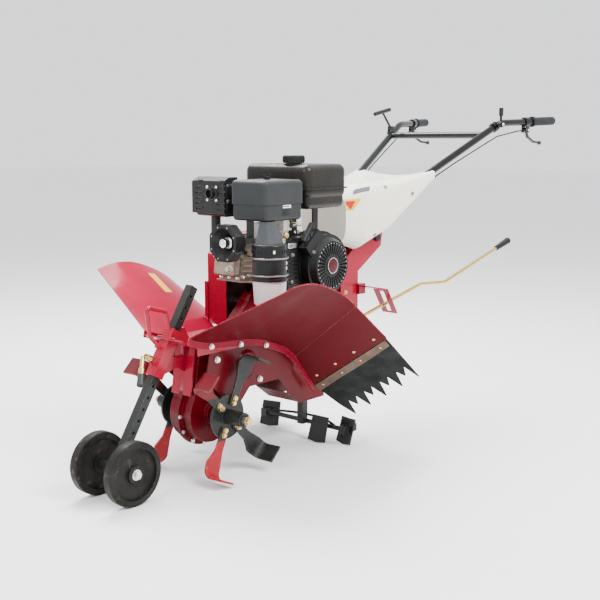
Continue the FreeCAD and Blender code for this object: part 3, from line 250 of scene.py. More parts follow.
def milky(name, colour, clear=0.35):
    """Cloudy plastic that lets a little light through."""
    s = Surface(name, colour, 0.3)
    s.shader.inputs["Transmission Weight"].default_value = clear
    s.shader.inputs["Subsurface Weight"].default_value = 0.2
    s.shader.inputs["Subsurface Radius"].default_value = (0.01, 0.01, 0.01)
    s.tint(s.ramp(s.noise(18, 5), 0.4, 0.7), tuple(c * 0.86 for c in colour), 0.5)
    s.tint(s.ramp(s.noise(60, 6, 0.7), 0.6, 0.75), (0.5, 0.44, 0.34), 0.25)
    s.bump(s.noise(240, 3), 0.12, 0.0004)
    return s.done()


def tine_steel():
    """Black tine with red paint on its lower and upper ends ahead of the axle, scuffed where it cuts."""
    lo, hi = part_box("tine_axle")
    axle = (lo + hi) / 2
    s = Surface("tine_paint", (0.010, 0.012, 0.011), 0.4, gloss=0.3).rounded(0.0012)
    s.tint(s.ramp(s.noise(60, 6, 0.7), 0.5, 0.7), (0.035, 0.032, 0.027), 0.7)
    ahead = s.beyond("X", axle.x, axle.x + 0.006)
    red = s.times(s.beyond("Z", axle.z - 0.0636, axle.z - 0.0676), ahead)
    s.tint(red, (0.30, 0.003, 0.012))
    s.tint(s.times(red, s.ramp(s.noise(70, 5, 0.7), 0.63, 0.66)), (0.6, 0.3, 0.26), 0.6)
    upper = s.times(s.beyond("Z", axle.z + 0.0644, axle.z + 0.0704), ahead)
    s.tint(upper, (0.12, 0.002, 0.006))
    s.tint(s.edge_mask(0.0012, 0.985, 0.9), (0.4, 0.33, 0.28), 0.7)
    s.rougher(s.ramp(s.noise(30, 5, 0.6), 0.4, 0.7), 0.65, 0.6)
    return s.bump(s.noise(180, 5, 0.7), 0.4, 0.0005).done()


def crank_zinc():
    """Yellow-plated crank with a black moulded handgrip on its hanging end."""
    lo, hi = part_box("clamp_crank")
    edge = lo.z + (hi.z - lo.z) * 0.46
    s = Surface("crank_zinc", (0.72, 0.55, 0.24), 0.26, metal=1.0).rounded(0.0008)
    s.tint(s.ramp(s.noise(48, 6, 0.7), 0.5, 0.7), (0.38, 0.24, 0.11), 0.5)
    s.bump(s.noise(420, 3), 0.2, 0.0003)
    grip = s.beyond("Z", edge + 0.001, edge)
    s.tint(grip, (0.012, 0.012, 0.013))
    s.rougher(grip, 0.5)
    metal = s.nodes.new("ShaderNodeMath")
    metal.operation = "SUBTRACT"
    metal.inputs[0].default_value = 1.0
    s.links.new(grip, metal.inputs[1])
    s.links.new(metal.outputs[0], s.shader.inputs["Metallic"])
    return s.done()


RED = enamel("red_enamel", (0.31, 0.002, 0.022), (0.20, 0.0015, 0.013))
# under gives painted shade on the fenders' down-facing faces
RED_FENDER = enamel("fender_enamel", (0.34, 0.001, 0.030), (0.24, 0.001, 0.020), rough=0.14,
                    wear=(0.65, 0.3, 0.28), worn=0.8, dust=0.1, under=(0.050, 0.0001, 0.0010),
                    coat=0.02, gloss=0.08)
# under gives painted shade on the down-facing faces of the gear cases, shields and hitch
RED_CASE = enamel("case_enamel", (0.13, 0.0008, 0.007), (0.07, 0.0005, 0.004), rough=0.22,
                  under=(0.055, 0.0003, 0.0015), coat=0.06, gloss=0.12)
BLACK_GLOSS = enamel("black_enamel", (0.003, 0.003, 0.0035), (0.007, 0.0075, 0.0075), rough=0.12,
                     wear=(0.3, 0.3, 0.3), worn=0.4, dust=0.04, coat=0.3)
BLACK_LEG = enamel("leg_enamel", (0.009, 0.011, 0.010), (0.02, 0.021, 0.019), rough=0.3,
                   wear=(0.26, 0.24, 0.22), worn=0.8, dust=0.3)
TINE = enamel("tine_black", (0.007, 0.009, 0.008), (0.016, 0.018, 0.016), rough=0.4,
              wear=(0.22, 0.2, 0.17), worn=0.8, dust=0.25)
TINE_RED = tine_steel()
PLASTIC = moulded("black_moulding", (0.008, 0.0085, 0.009), (0.02, 0.021, 0.022), dust=0.12)
PLASTIC_SATIN = moulded("satin_moulding", (0.006, 0.0068, 0.0075), (0.016, 0.017, 0.018), rough=0.25,
                        grain=0.1, dust=0.08)
FILTER_LID = moulded("filter_lid", (0.021, 0.023, 0.024), (0.036, 0.039, 0.040), rough=0.36, dust=0.1)
FILTER_TRAY = moulded("filter_tray", (0.008, 0.009, 0.0095), (0.017, 0.018, 0.019), rough=0.4, dust=0.1)
TANK = moulded("tank_paint", (0.012, 0.011, 0.0095), (0.027, 0.023, 0.019), rough=0.26, grain=0.03, dust=0.06)
DUCT = moulded("grey_duct", (0.034, 0.037, 0.041), (0.07, 0.074, 0.08), rough=0.3, dust=0.08)
HEAT_BLACK = enamel("heat_black", (0.007, 0.0075, 0.008), (0.017, 0.017, 0.017), rough=0.32,
                    wear=(0.2, 0.19, 0.18), worn=0.7, dust=0.2)
CREAM = moulded("cream_shell", (0.80, 0.79, 0.69), (0.86, 0.855, 0.78), rough=0.2, grain=0.06, dust=0.05)
WHEEL = rubber("wheel_rubber", (0.0055, 0.0052, 0.0045), mud=0.5, rough=0.45)
GRIP = rubber("grip_rubber", (0.016, 0.018, 0.020), mud=0.05, rough=0.6)
FLAP = rubber("flap_rubber", (0.002, 0.004, 0.0035), mud=0.1, rough=0.6)
BELT = rubber("belt_rubber", (0.008, 0.008, 0.008), mud=0.15)
ZINC = bare("yellow_zinc", (0.70, 0.50, 0.15), 0.26, stain=(0.42, 0.28, 0.16), stained=0.45)
BRASSY = bare("brassy_nut", (0.72, 0.52, 0.22), 0.24, stain=(0.3, 0.2, 0.1), stained=0.5)
BRIGHT = bare("bright_steel", (0.74, 0.74, 0.73), 0.2, stain=(0.3, 0.28, 0.25), stained=0.35)
STEEL = bare("dark_steel", (0.26, 0.25, 0.24), 0.36)
CHAIN = bare("chain_steel", (0.18, 0.165, 0.15), 0.4, stain=(0.08, 0.06, 0.04), stained=0.7)
ALLOY = casting("cast_alloy", (0.32, 0.26, 0.20), (0.10, 0.07, 0.05))
ALLOY_LIGHT = casting("light_alloy", (0.56, 0.54, 0.50), (0.30, 0.27, 0.23), rough=0.4)
RUST = rusty("rusty_strip")
BOWL = milky("milky_bowl", (0.80, 0.79, 0.77))
CRANK = crank_zinc()
WHITE_TAG = moulded("white_tag", (0.78, 0.78, 0.76), (0.88, 0.88, 0.87), rough=0.3, grain=0.05, dust=0.1)
GREY_TAG = moulded("grey_tag", (0.10, 0.105, 0.12), (0.26, 0.27, 0.29), rough=0.3, grain=0.05, dust=0.1)
YELLOW_TAG = moulded("yellow_tag", (0.80, 0.42, 0.004), (0.86, 0.56, 0.04), rough=0.28, grain=0.05, dust=0.06)
RED_TAG = moulded("red_tag", (0.50, 0.006, 0.006), (0.62, 0.03, 0.02), rough=0.28, grain=0.05, dust=0.06)
MIRROR = bare("lamp_mirror", (0.86, 0.86, 0.85), 0.08, stain=(0.5, 0.5, 0.48), stained=0.2)
EMBLEM = moulded("emblem_red", (0.06, 0.004, 0.008), (0.13, 0.01, 0.016), rough=0.22, grain=0.05, dust=0.05)

NODE_FINISH = {
    RED: ("nose_frame", "deck_plate", "belt_cover", "engine_frame"),
    RED_FENDER: ("fender_left", "fender_right"),
    RED_CASE: ("gear_case_left", "gear_case_right", "side_shields", "rear_hitch"),
    BLACK_GLOSS: ("handlebar", "control_mounts", "clutch_lever", "brake_lever", "reverse_handle"),
    BLACK_LEG: ("wheel_leg",),
    TINE: ("blade_holders", "opener_shank", "opener_blades"),
    TINE_RED: ("blades_left", "blades_right"),
    PLASTIC: ("throttle_lever", "fuel_cap", "wing_nut", "starter_grip", "hand_cables"),
    PLASTIC_SATIN: ("recoil_cover", "fan_cover", "headlamp", "dust_canister", "shift_knob"),
    FILTER_LID: ("air_cleaner",),
    TANK: ("fuel_tank",),
    DUCT: ("air_duct",),
    HEAT_BLACK: ("muffler", "engine_brackets"),
    CREAM: ("handle_shroud",),
    WHEEL: ("wheel_left", "wheel_right"),
    GRIP: ("grips",),
    FLAP: ("fender_flaps",),
    BELT: ("v_belt",),
    ZINC: ("shift_lever",),
    CRANK: ("clamp_crank",),
    BRASSY: ("blade_bolts",),
    BRIGHT: ("wheel_axle", "frame_bolts"),
    STEEL: ("tine_axle", "axle_sprocket", "input_shaft", "crankshaft", "crank_pulley", "driven_pulley",
            "tensioner"),
    CHAIN: ("chain",),
    ALLOY: ("crankcase", "cylinder_head"),
    ALLOY_LIGHT: ("carburettor",),
    RUST: ("flap_strips",),
    BOWL: ("dust_bowl",),
}


def dress(obj, *materials):
    obj.data.materials.clear()
    for material in materials:
        obj.data.materials.append(material)


for finish, names in NODE_FINISH.items():
    for name in names:
        dress(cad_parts[name], finish)


# ---- building blocks for small pieces -----------------------------------------------------------
TREES = {}


def on_surface(node, start, direction):
    """Place and outward normal where a line from start first meets a CAD node."""
    if node not in TREES:
        TREES[node] = BVHTree.FromObject(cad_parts[node], bpy.context.evaluated_depsgraph_get())
    spot, normal, _, _ = TREES[node].ray_cast(Vector(start), Vector(direction))
    return spot, normal


def square_to(axis):
    """Two directions square to axis and to each other."""
    axis = Vector(axis).normalized()
    side = axis.cross(UP if abs(axis.z) < 0.9 else AHEAD).normalized()
    return side, axis.cross(side)


def turned(bm, spot, axis, profile, steps=32, phase=0.0):
    """Adds a closed turned form: profile is (radius, height along axis) from bottom to top."""
    axis = Vector(axis).normalized()
    side, other = square_to(axis)
    rings = []
    for radius, height in profile:
        middle = Vector(spot) + axis * height
        turns = [phase + math.tau * i / steps for i in range(steps)]
        rings.append([bm.verts.new(middle + (side * math.cos(t) + other * math.sin(t)) * radius)
                      for t in turns])
    for low, high in zip(rings, rings[1:]):
        for i in range(steps):
            j = (i + 1) % steps
            bm.faces.new((low[i], low[j], high[j], high[i]))
    bm.faces.new(rings[0][::-1])
    bm.faces.new(rings[-1])


def within(node, along=0.5, across=0.5, up=0.5):
    """Point at these shares of the way through a CAD node's box, from its low corner."""
    lo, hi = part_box(node)
    return Vector((lo.x + (hi.x - lo.x) * along, lo.y + (hi.y - lo.y) * across, lo.z + (hi.z - lo.z) * up))


def slab(bm, corners, thick):
    """Adds a flat plate: corners in order round its face, thick is a vector through it."""
    low = [bm.verts.new(Vector(c)) for c in corners]
    high = [bm.verts.new(Vector(c) + Vector(thick)) for c in corners]
    bm.faces.new(low[::-1])
    bm.faces.new(high)
    for i in range(len(low)):
        j = (i + 1) % len(low)
        bm.faces.new((low[i], low[j], high[j], high[i]))


def bar(bm, a, b, radius, steps=10):
    """Adds a round bar from a to b."""
    a, b = Vector(a), Vector(b)
    turned(bm, a, b - a, ((radius, 0), (radius, (b - a).length)), steps)


def piece(name, bm, material, body="chassis", edge=0.0):
    """Turns the mesh into an object that rides on a body, with its edges rounded by edge."""
    bmesh.ops.recalc_face_normals(bm, faces=bm.faces)
    mesh = bpy.data.meshes.new(name)
    bm.to_mesh(mesh)
    bm.free()
    for polygon in mesh.polygons:
        polygon.use_smooth = True
    obj = bpy.data.objects.new(name, mesh)
    bpy.context.scene.collection.objects.link(obj)
    mesh.set_sharp_from_angle(angle=math.radians(34))
    if edge:
        bevel = obj.modifiers.new("edge", "BEVEL")
        bevel.width = edge
        bevel.segments = 2
        bevel.limit_method = "ANGLE"
        bevel.angle_limit = math.radians(34)
    dress(obj, material)
    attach(obj, body)
    return obj


def hex_bolt(bm, spot, axis, size):
    """Adds a hexagon head on a washer; size is the thread's radius."""
    washer = ((size * 2.1, -0.0004), (size * 2.1, size * 0.3), (size * 1.9, size * 0.42))
    head = ((size * 1.75, size * 0.3), (size * 1.75, size * 1.35), (size * 1.5, size * 1.6))
    turned(bm, spot, axis, washer, 24)
    turned(bm, spot, axis, head, 6)


def pan_screw(bm, spot, axis, size):
    """Adds a domed screw head with a sunk centre; size is the thread's radius."""
    turned(bm, spot, axis, ((size * 2.0, -0.0004), (size * 2.0, size * 0.4), (size * 1.6, size * 0.9),
                            (size * 0.9, size * 1.1), (size * 0.6, size * 0.6)), 20)


def decal(name, node, middle, look, right, up, outline, material, lift=0.0004, steps=14, body="chassis"):
    """Thin sticker laid on a curved surface; outline(u, v) gives its flat place for u and v from -1 to 1."""
    bm = bmesh.new()
    look, right, up = Vector(look).normalized(), Vector(right), Vector(up)
    grid = {}
    for i in range(steps + 1):
        for j in range(steps + 1):
            u, v = 2 * i / steps - 1, 2 * j / steps - 1
            x, y = outline(u, v)
            start = Vector(middle) + right * x + up * y - look * 0.05
            spot, normal = on_surface(node, start, look)
            if spot is not None:
                grid[i, j] = bm.verts.new(spot + normal * lift)
    for i in range(steps):
        for j in range(steps):
            corners = [grid.get(k) for k in ((i, j), (i + 1, j), (i + 1, j + 1), (i, j + 1))]
            if all(corners):
                bm.faces.new(corners)
    piece(name, bm, material, body)


# ---- engine details -----------------------------------------------------------------------------
def air_cleaner_trim():
    """Plain white tag and a stack of vent bars on the air cleaner's left side."""
    tag = within("air_cleaner", 0.4346, 1.0, 0.42) - UP * 0.012
    spot, _ = on_surface("air_cleaner", tag + ACROSS * 0.05, -ACROSS)
    bm = bmesh.new()
    slab(bm, [spot + Vector(c) for c in ((-0.018, 0, -0.005), (0.018, 0, -0.005), (0.018, 0, 0.004),
                                         (-0.018, 0, 0.004))], (0, 0.0006, 0))
    piece("filter_tag", bm, WHITE_TAG, edge=0.0002)
    bm = bmesh.new()
    vents = within("air_cleaner", 0.5522, 1.0, 0.0)
    for i in range(5):
        place, _ = on_surface("air_cleaner", vents + ACROSS * 0.05 + UP * (0.016 + i * 0.006), -ACROSS)
        slab(bm, [place + Vector(c) for c in ((-0.03, -0.001, 0), (0.0, -0.001, 0), (0.0, -0.001, 0.0024),
                                              (-0.03, -0.001, 0.0024))], (0, 0.0026, 0))
    piece("filter_vents", bm, FILTER_TRAY, edge=0.0006)


def muffler_trim():
    """Ring and screws round the outlet, stamped bars beside it and bolts on the left face."""
    lo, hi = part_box("muffler")
    middle = within("muffler", 1.0, 0.6143, 0.804)
    face, _ = on_surface("muffler", (hi.x + 0.1, middle.y - 0.03, middle.z + 0.03), -AHEAD)
    bm = bmesh.new()
    for i in range(4):
        t = math.radians(45 + 90 * i)
        pan_screw(bm, (face.x, middle.y + 0.027 * math.cos(t), middle.z + 0.027 * math.sin(t)), AHEAD, 0.0024)
    piece("muffler_screws", bm, BRIGHT)
    bm = bmesh.new()
    turned(bm, (face.x, middle.y, middle.z), AHEAD, ((0.0215, -0.001), (0.0215, 0.0014), (0.019, 0.0024)), 40)
    for row in range(6):
        z = middle.z - 0.045 + row * 0.0165
        for side in (-1, 1):
            y = middle.y + side * 0.047
            slab(bm, [(face.x - 0.001, y - 0.011, z), (face.x - 0.001, y + 0.011, z),
                      (face.x - 0.001, y + 0.011, z + 0.0036), (face.x - 0.001, y - 0.011, z + 0.0036)],
                 (0.0036, 0, 0))
    piece("muffler_louvres", bm, HEAT_BLACK, edge=0.0012)
    bm = bmesh.new()
    for x in (lo.x + 0.03, hi.x - 0.03):
        for rise in (0.079, 0.179):
            spot, normal = on_surface("muffler", (x, hi.y + 0.05, lo.z + rise), -ACROSS)
            if spot is not None:
                hex_bolt(bm, spot, normal, 0.0028)
    piece("muffler_bolts", bm, STEEL)


def lamp_trim():
    """Mirror-bright bulb, its socket and the rim screws of the headlamp."""
    lo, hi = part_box("headlamp")
    middle = Vector((hi.x - 0.012, (lo.y + hi.y) / 2, (lo.z + hi.z) / 2))
    tip, _ = on_surface("headlamp", (hi.x + 0.1, middle.y, middle.z), -AHEAD)
    bm = bmesh.new()
    turned(bm, tip, AHEAD, ((0.0135, -0.010), (0.0138, -0.004), (0.0125, 0.0), (0.0095, 0.0018),
                            (0.004, 0.0022), (0.001, 0.0010)), 36)
    piece("lamp_bulb", bm, MIRROR, "lamp")
    bm = bmesh.new()
    turned(bm, middle - AHEAD * 0.012, AHEAD,
           ((0.0175, 0), (0.0175, 0.004), (0.0145, 0.006), (0.0135, 0.0075), (0.0128, 0.0075)), 36)
    piece("lamp_socket", bm, BRIGHT, "lamp")
    bm = bmesh.new()
    for i in range(8):
        t = math.radians(22.5 + 45 * i)
        start = Vector((hi.x + 0.05, middle.y + 0.048 * math.cos(t), middle.z + 0.048 * math.sin(t)))
        spot, _ = on_surface("headlamp", start, -AHEAD)
        if spot is not None:
            pan_screw(bm, spot, AHEAD, 0.0014)
    piece("lamp_screws", bm, STEEL, "lamp")


def canister_trim():
    """Steel bands with clamp screws, moulded ribs and plain tags on the dust canister."""
    axis = within("dust_canister", up=0.0)
    radius = 0.0538
    bm = bmesh.new()
    for z in (0.014, 0.0625):
        turned(bm, axis + UP * z, UP, ((radius, 0), (radius + 0.001, 0.0006), (radius + 0.001, 0.0044),
                                       (radius, 0.005)), 72)
        t = math.radians(20)
        lug = axis + Vector((math.cos(t), math.sin(t), 0)) * (radius + 0.003) + UP * (z + 0.004)
        bar(bm, lug - Vector((-math.sin(t), math.cos(t), 0)) * 0.009,
            lug + Vector((-math.sin(t), math.cos(t), 0)) * 0.009, 0.0024, 8)
    piece("canister_bands", bm, STEEL, edge=0.0004)
    bm = bmesh.new()
    for i in range(28):
        t = math.tau * i / 28
        radial = Vector((math.cos(t), math.sin(t), 0))
        place, _ = on_surface("dust_canister", axis + radial * 0.12 + UP * 0.078, -radial)
        if place is not None:
            side = Vector((-math.sin(t), math.cos(t), 0)) * 0.0024
            slab(bm, [place - side - radial * 0.001, place + side - radial * 0.001,
                      place + side - radial * 0.001 + UP * 0.012, place - side - radial * 0.001 + UP * 0.012],
                 radial * 0.0026)
    piece("canister_ribs", bm, PLASTIC_SATIN, edge=0.0007)
    for index, (turn, z) in enumerate(((118, 0.036), (118, 0.050), (60, 0.0845))):
        t = math.radians(turn)
        radial = Vector((math.cos(t), math.sin(t), 0))
        side = Vector((-math.sin(t), math.cos(t), 0))
        decal(f"canister_tag_{index}", "dust_canister", axis + radial * 0.056 + UP * z, -radial, side, UP,
              lambda u, v: (u * 0.0055, v * 0.0042), WHITE_TAG, steps=6)


def fan_trim():
    """Emblem disc, bright rings, bolts, ribs and a bright plate on the starter and fan covers."""
    rim = within("recoil_cover", across=1.0).y
    middle = Vector((0.22512, rim, 0.6))
    bm = bmesh.new()
    turned(bm, middle - ACROSS * 0.0006, ACROSS, ((0.0225, 0), (0.0225, 0.0008), (0.019, 0.0016)), 48)
    piece("starter_emblem", bm, EMBLEM)
    bm = bmesh.new()
    for inner, outer in ((0.0228, 0.0242), (0.0682, 0.0694)):
        for i in range(96):
            t, n = math.tau * i / 96, math.tau * (i + 1) / 96
            ring = [Vector((math.cos(a) * r, 0, math.sin(a) * r)) for a, r in
                    ((t, inner), (n, inner), (n, outer), (t, outer))]
            spots = [on_surface("recoil_cover", middle + r + ACROSS * 0.05, -ACROSS)[0] for r in ring]
            if all(spot is not None and abs(spot.y - rim) < 0.02 for spot in spots):
                slab(bm, [spot - ACROSS * 0.0002 for spot in spots], ACROSS * 0.0008)
    bmesh.ops.remove_doubles(bm, verts=bm.verts, dist=0.00002)
    piece("starter_rings", bm, BRIGHT)
    bm = bmesh.new()
    for i in range(3):
        t = math.radians(32 + 120 * i)
        start = middle + Vector((math.cos(t), 0, math.sin(t))) * 0.087 + ACROSS * 0.05
        spot, _ = on_surface("recoil_cover", start, -ACROSS)
        if spot is not None:
            hex_bolt(bm, spot, ACROSS, 0.003)
    for along, up in ((0.1124, 0.8846), (0.0579, 0.1635), (0.91, 0.6923), (0.9373, 0.3077), (0.7349, 0.9326)):
        spot, _ = on_surface("fan_cover", within("fan_cover", along, 1.0, up) + ACROSS * 0.1, -ACROSS)
        if spot is not None:
            hex_bolt(bm, spot, ACROSS, 0.003)
    piece("cover_bolts", bm, STEEL)
    bm = bmesh.new()
    for i in range(7):
        start = within("fan_cover", 0.8984, 1.0, 0.0) + Vector((0, 0.1, 0.052 + i * 0.0125))
        spot, _ = on_surface("fan_cover", start, -ACROSS)
        if spot is not None:
            slab(bm, [spot + Vector(c) for c in ((-0.02, -0.001, 0), (0.016, -0.001, 0.003),
                                                 (0.016, -0.001, 0.0066), (-0.02, -0.001, 0.0036))],
                 (0, 0.0044, 0))
    piece("fan_ribs", bm, PLASTIC_SATIN, edge=0.001)
    spot, _ = on_surface("fan_cover", within("fan_cover", 0.9178, 1.0, 0.8269) + ACROSS * 0.1, -ACROSS)
    bm = bmesh.new()
    slab(bm, [spot + Vector(c) for c in ((-0.022, 0, -0.008), (0.016, 0, -0.008), (0.02, 0, -0.004),
                                         (0.02, 0, 0.008), (-0.018, 0, 0.008), (-0.022, 0, 0.004))],
         (0, 0.0016, 0))
    piece("fan_plate", bm, BRIGHT, edge=0.0005)
    bm = bmesh.new()
    pan_screw(bm, spot + Vector((0.008, 0.0016, 0)), ACROSS, 0.0026)
    piece("fan_plate_screw", bm, STEEL)


def governor():
    """Throttle rod, return spring, arm and fuel cock between the carburettor and the fan cover."""
    lo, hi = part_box("carburettor")
    base = Vector((lo.x - 0.0021, hi.y - 0.032, lo.z + 0.016))
    bm = bmesh.new()
    bar(bm, base, base + Vector((0, 0, 0.03)), 0.0045, 20)
    slab(bm, [base + Vector(c) for c in ((-0.008, -0.006, 0.030), (0.05, 0.010, 0.030), (0.053, 0.016, 0.030),
                                         (0.0, 0.008, 0.030), (-0.01, 0.004, 0.030))], (0, 0, 0.002))
    slab(bm, [base + Vector(c) for c in ((-0.06, 0.0, 0.022), (0.004, -0.006, 0.022), (0.006, 0.004, 0.022),
                                         (-0.06, 0.008, 0.022))], (0, 0, 0.002))
    for spot in ((-0.052, 0.004, 0.024), (0.046, 0.012, 0.032)):
        pan_screw(bm, base + Vector(spot), UP, 0.0022)
    bar(bm, base + Vector((-0.05, 0.004, 0.034)), base + Vector((0.045, 0.012, 0.036)), 0.0012)
    piece("governor_arm", bm, ZINC, edge=0.0003)
    bm = bmesh.new()
    steps, radius = 160, 0.0032
    coils = [base + Vector((-0.05 + 0.08 * i / steps, 0.018 + radius * math.cos(i * 0.9),
                            0.028 + radius * math.sin(i * 0.9))) for i in range(steps + 1)]
    for a, b in zip(coils, coils[1:]):
        bar(bm, a, b, 0.0006, 5)
    piece("governor_spring", bm, BRIGHT)
    bm = bmesh.new()
    place = Vector(((lo.x + hi.x) / 2, hi.y - 0.002, lo.z + 0.018))
    turned(bm, place, ACROSS, ((0.009, 0), (0.009, 0.006), (0.007, 0.008)), 24)
    hex_bolt(bm, place + ACROSS * 0.008, ACROSS, 0.0024)
    piece("fuel_cock", bm, BRASSY)


def fuel_line_fittings():
    """Float bowl with its bolt and a choke lever on the carburettor, and a screwed control plate."""
    lo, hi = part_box("carburettor")
    bowl = Vector((lo.x + 0.03, hi.y - 0.030, lo.z + 0.002))
    bm = bmesh.new()
    turned(bm, bowl, -UP, ((0.019, -0.006), (0.019, 0.012), (0.015, 0.017), (0.006, 0.019)), 32)
    piece("float_bowl", bm, ALLOY_LIGHT)
    bm = bmesh.new()
    hex_bolt(bm, bowl - UP * 0.018, -UP, 0.0034)
    piece("float_bowl_bolt", bm, BRASSY)
    bm = bmesh.new()
    hinge = Vector((lo.x + 0.012, hi.y - 0.004, lo.z + 0.045))
    turned(bm, hinge, ACROSS, ((0.008, 0), (0.008, 0.005), (0.006, 0.007)), 20)
    slab(bm, [hinge + Vector(c) for c in ((-0.004, 0.002, 0.0), (0.004, 0.002, 0.0), (0.010, 0.002, 0.022),
                                          (0.002, 0.002, 0.026))], (0, 0.003, 0))
    piece("choke_lever", bm, PLASTIC, edge=0.0006)
    bm = bmesh.new()
    corner = Vector((lo.x - 0.0021, lo.y + 0.062, lo.z + 0.008))
    outline = ((-0.067, 0), (0, 0), (0, 0.043), (-0.017, 0.064), (-0.052, 0.056), (-0.067, 0.030))
    slab(bm, [corner + AHEAD * x + UP * z for x, z in outline], (0, 0.0024, 0))
    piece("control_plate", bm, PLASTIC_SATIN, edge=0.0007)
    bm = bmesh.new()
    for x, z in ((-0.055, 0.010), (-0.011, 0.011), (-0.030, 0.049)):
        pan_screw(bm, corner + Vector((x, 0.0024, z)), ACROSS, 0.0026)
    piece("control_plate_screws", bm, BRIGHT)


def engine_fittings():
    """Fitting on the head, bolts of the head and the crankcase, and the oil plug."""
    lo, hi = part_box("cylinder_head")
    bm = bmesh.new()
    face, _ = on_surface("cylinder_head", within("cylinder_head", 1.0, 0.6538, 0.3496) + AHEAD * 0.1, -AHEAD)
    turned(bm, face, AHEAD,
           ((0.011, -0.002), (0.011, 0.003), (0.0078, 0.004), (0.0078, 0.016), (0.0064, 0.018)), 28)
    piece("head_fitting", bm, ALLOY_LIGHT)
    bm = bmesh.new()
    for y in (0.016, 0.050, 0.084, 0.112):
        for z in (0.0191, 0.0841):
            spot, _ = on_surface("cylinder_head", (hi.x + 0.1, lo.y + y, lo.z + z), -AHEAD)
            if spot is not None:
                hex_bolt(bm, spot, AHEAD, 0.003)
    for x in (0.016, 0.046, 0.081):
        for z in (0.0241, 0.0891):
            spot, _ = on_surface("cylinder_head", (lo.x + x, hi.y + 0.1, lo.z + z), -ACROSS)
            if spot is not None:
                hex_bolt(bm, spot, ACROSS, 0.0026)
    piece("head_bolts", bm, BRIGHT)
    bm = bmesh.new()
    lo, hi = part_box("crankcase")
    for x in (0.016, 0.076, 0.136, 0.196, 0.256, 0.296):
        spot, _ = on_surface("crankcase", (lo.x + x, hi.y + 0.1, lo.z + 0.018), -ACROSS)
        if spot is not None:
            hex_bolt(bm, spot, ACROSS, 0.003)
    spot, _ = on_surface("crankcase", (hi.x + 0.1, lo.y + 0.094, lo.z + 0.025), -AHEAD)
    if spot is not None:
        hex_bolt(bm, spot, AHEAD, 0.005)
    piece("case_bolts", bm, BRIGHT)
    bm = bmesh.new()
    spot, _ = on_surface("crankcase", (hi.x + 0.1, lo.y + 0.126, lo.z + 0.045), -AHEAD)
    if spot is not None:
        turned(bm, spot, AHEAD,
               ((0.012, -0.002), (0.012, 0.008), (0.015, 0.009), (0.015, 0.014), (0.012, 0.016)), 12)
        piece("oil_plug", bm, PLASTIC)
    else:
        bm.free()


# ---- frame and cover details --------------------------------------------------------------------
def shroud_trim():
    """Screws and plain stickers on the handle shroud."""
    bm = bmesh.new()
    for along, up in ((0.5775, 0.8036), (0.6874, 0.1896), (0.2837, 0.7039)):
        for side in (1, -1):
            start = within("handle_shroud", along, 0.5, up) + ACROSS * side * 0.4
            spot, normal = on_surface("handle_shroud", start, -ACROSS * side)
            pan_screw(bm, spot, normal, 0.0034)
    piece("shroud_screws", bm, STEEL, "bars")
    look = Vector((-0.2, -0.8, -0.4)).normalized()
    plate = within("handle_shroud", 0.8135, 0.7954, 0.7752)
    decal("shroud_plate", "handle_shroud", plate, look, -AHEAD, (0, -0.35, 0.93),
          lambda u, v: (u * 0.034 + v * 0.008, v * 0.0085), GREY_TAG, body="bars")
    warn = within("handle_shroud", 0.9595, 0.7842, 0.5948)
    decal("shroud_flash", "handle_shroud", warn, -ACROSS, -AHEAD, UP,
          lambda u, v: ((u * 0.036) * (0.75 + 0.25 * v) + 0.008 * v, v * 0.0185), YELLOW_TAG, body="bars")
    decal("shroud_flash_core", "handle_shroud", warn - UP * 0.001, -ACROSS, -AHEAD, UP,
          lambda u, v: (u * 0.021 * (0.55 + 0.45 * v), v * 0.0125), RED_TAG, lift=0.0008, body="bars")


def fender_trim():
    """Plain sticker on the right fender."""
    spot = within("fender_right", 0.542, 0.29, 1.0) + UP * 0.02
    decal("fender_sticker", "fender_right", spot, -UP, AHEAD * 0.9 + ACROSS * 0.1, ACROSS,
          lambda u, v: (u * 0.018, v * 0.042), YELLOW_TAG, steps=8)


def flap_strip_trim():
    """Rusty strips under the flaps, with four screws over and four under each."""
    lo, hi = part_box("fender_left")
    top = Vector((lo.x, lo.y + 0.004, lo.z + 0.018))
    run = Vector((0.006, hi.y - lo.y - 0.008, 0.190))
    fall = Vector((-0.165, 0, -0.135))
    under = Vector((0.63, 0, -0.78))
    for side, word in ((1, "left"), (-1, "right")):
        hand = Vector((1, side, 1))
        bm = bmesh.new()
        outline = ((0.012, 0.012), (0.988, 0.012), (0.985, 0.17), (0.62, 0.185), (0.3, 0.175), (0.015, 0.19))
        corners = [top + run * share + fall * down + under * 0.0004 for share, down in outline]
        slab(bm, [c * hand for c in corners], under * 0.0016)
        piece(f"flap_clamp_{word}", bm, RUST, edge=0.0004)
        bm = bmesh.new()
        for share in (0.1, 0.37, 0.63, 0.9):
            start = (top + run * share - fall * 0.13 + under * 0.1) * hand
            spot, normal = on_surface(f"fender_{word}", start, -under)
            if spot is not None:
                pan_screw(bm, spot, normal, 0.0026)
            pan_screw(bm, (top + run * share + fall * 0.09 + under * 0.002) * hand, under, 0.0024)
        piece(f"flap_screws_{word}", bm, BRASSY)


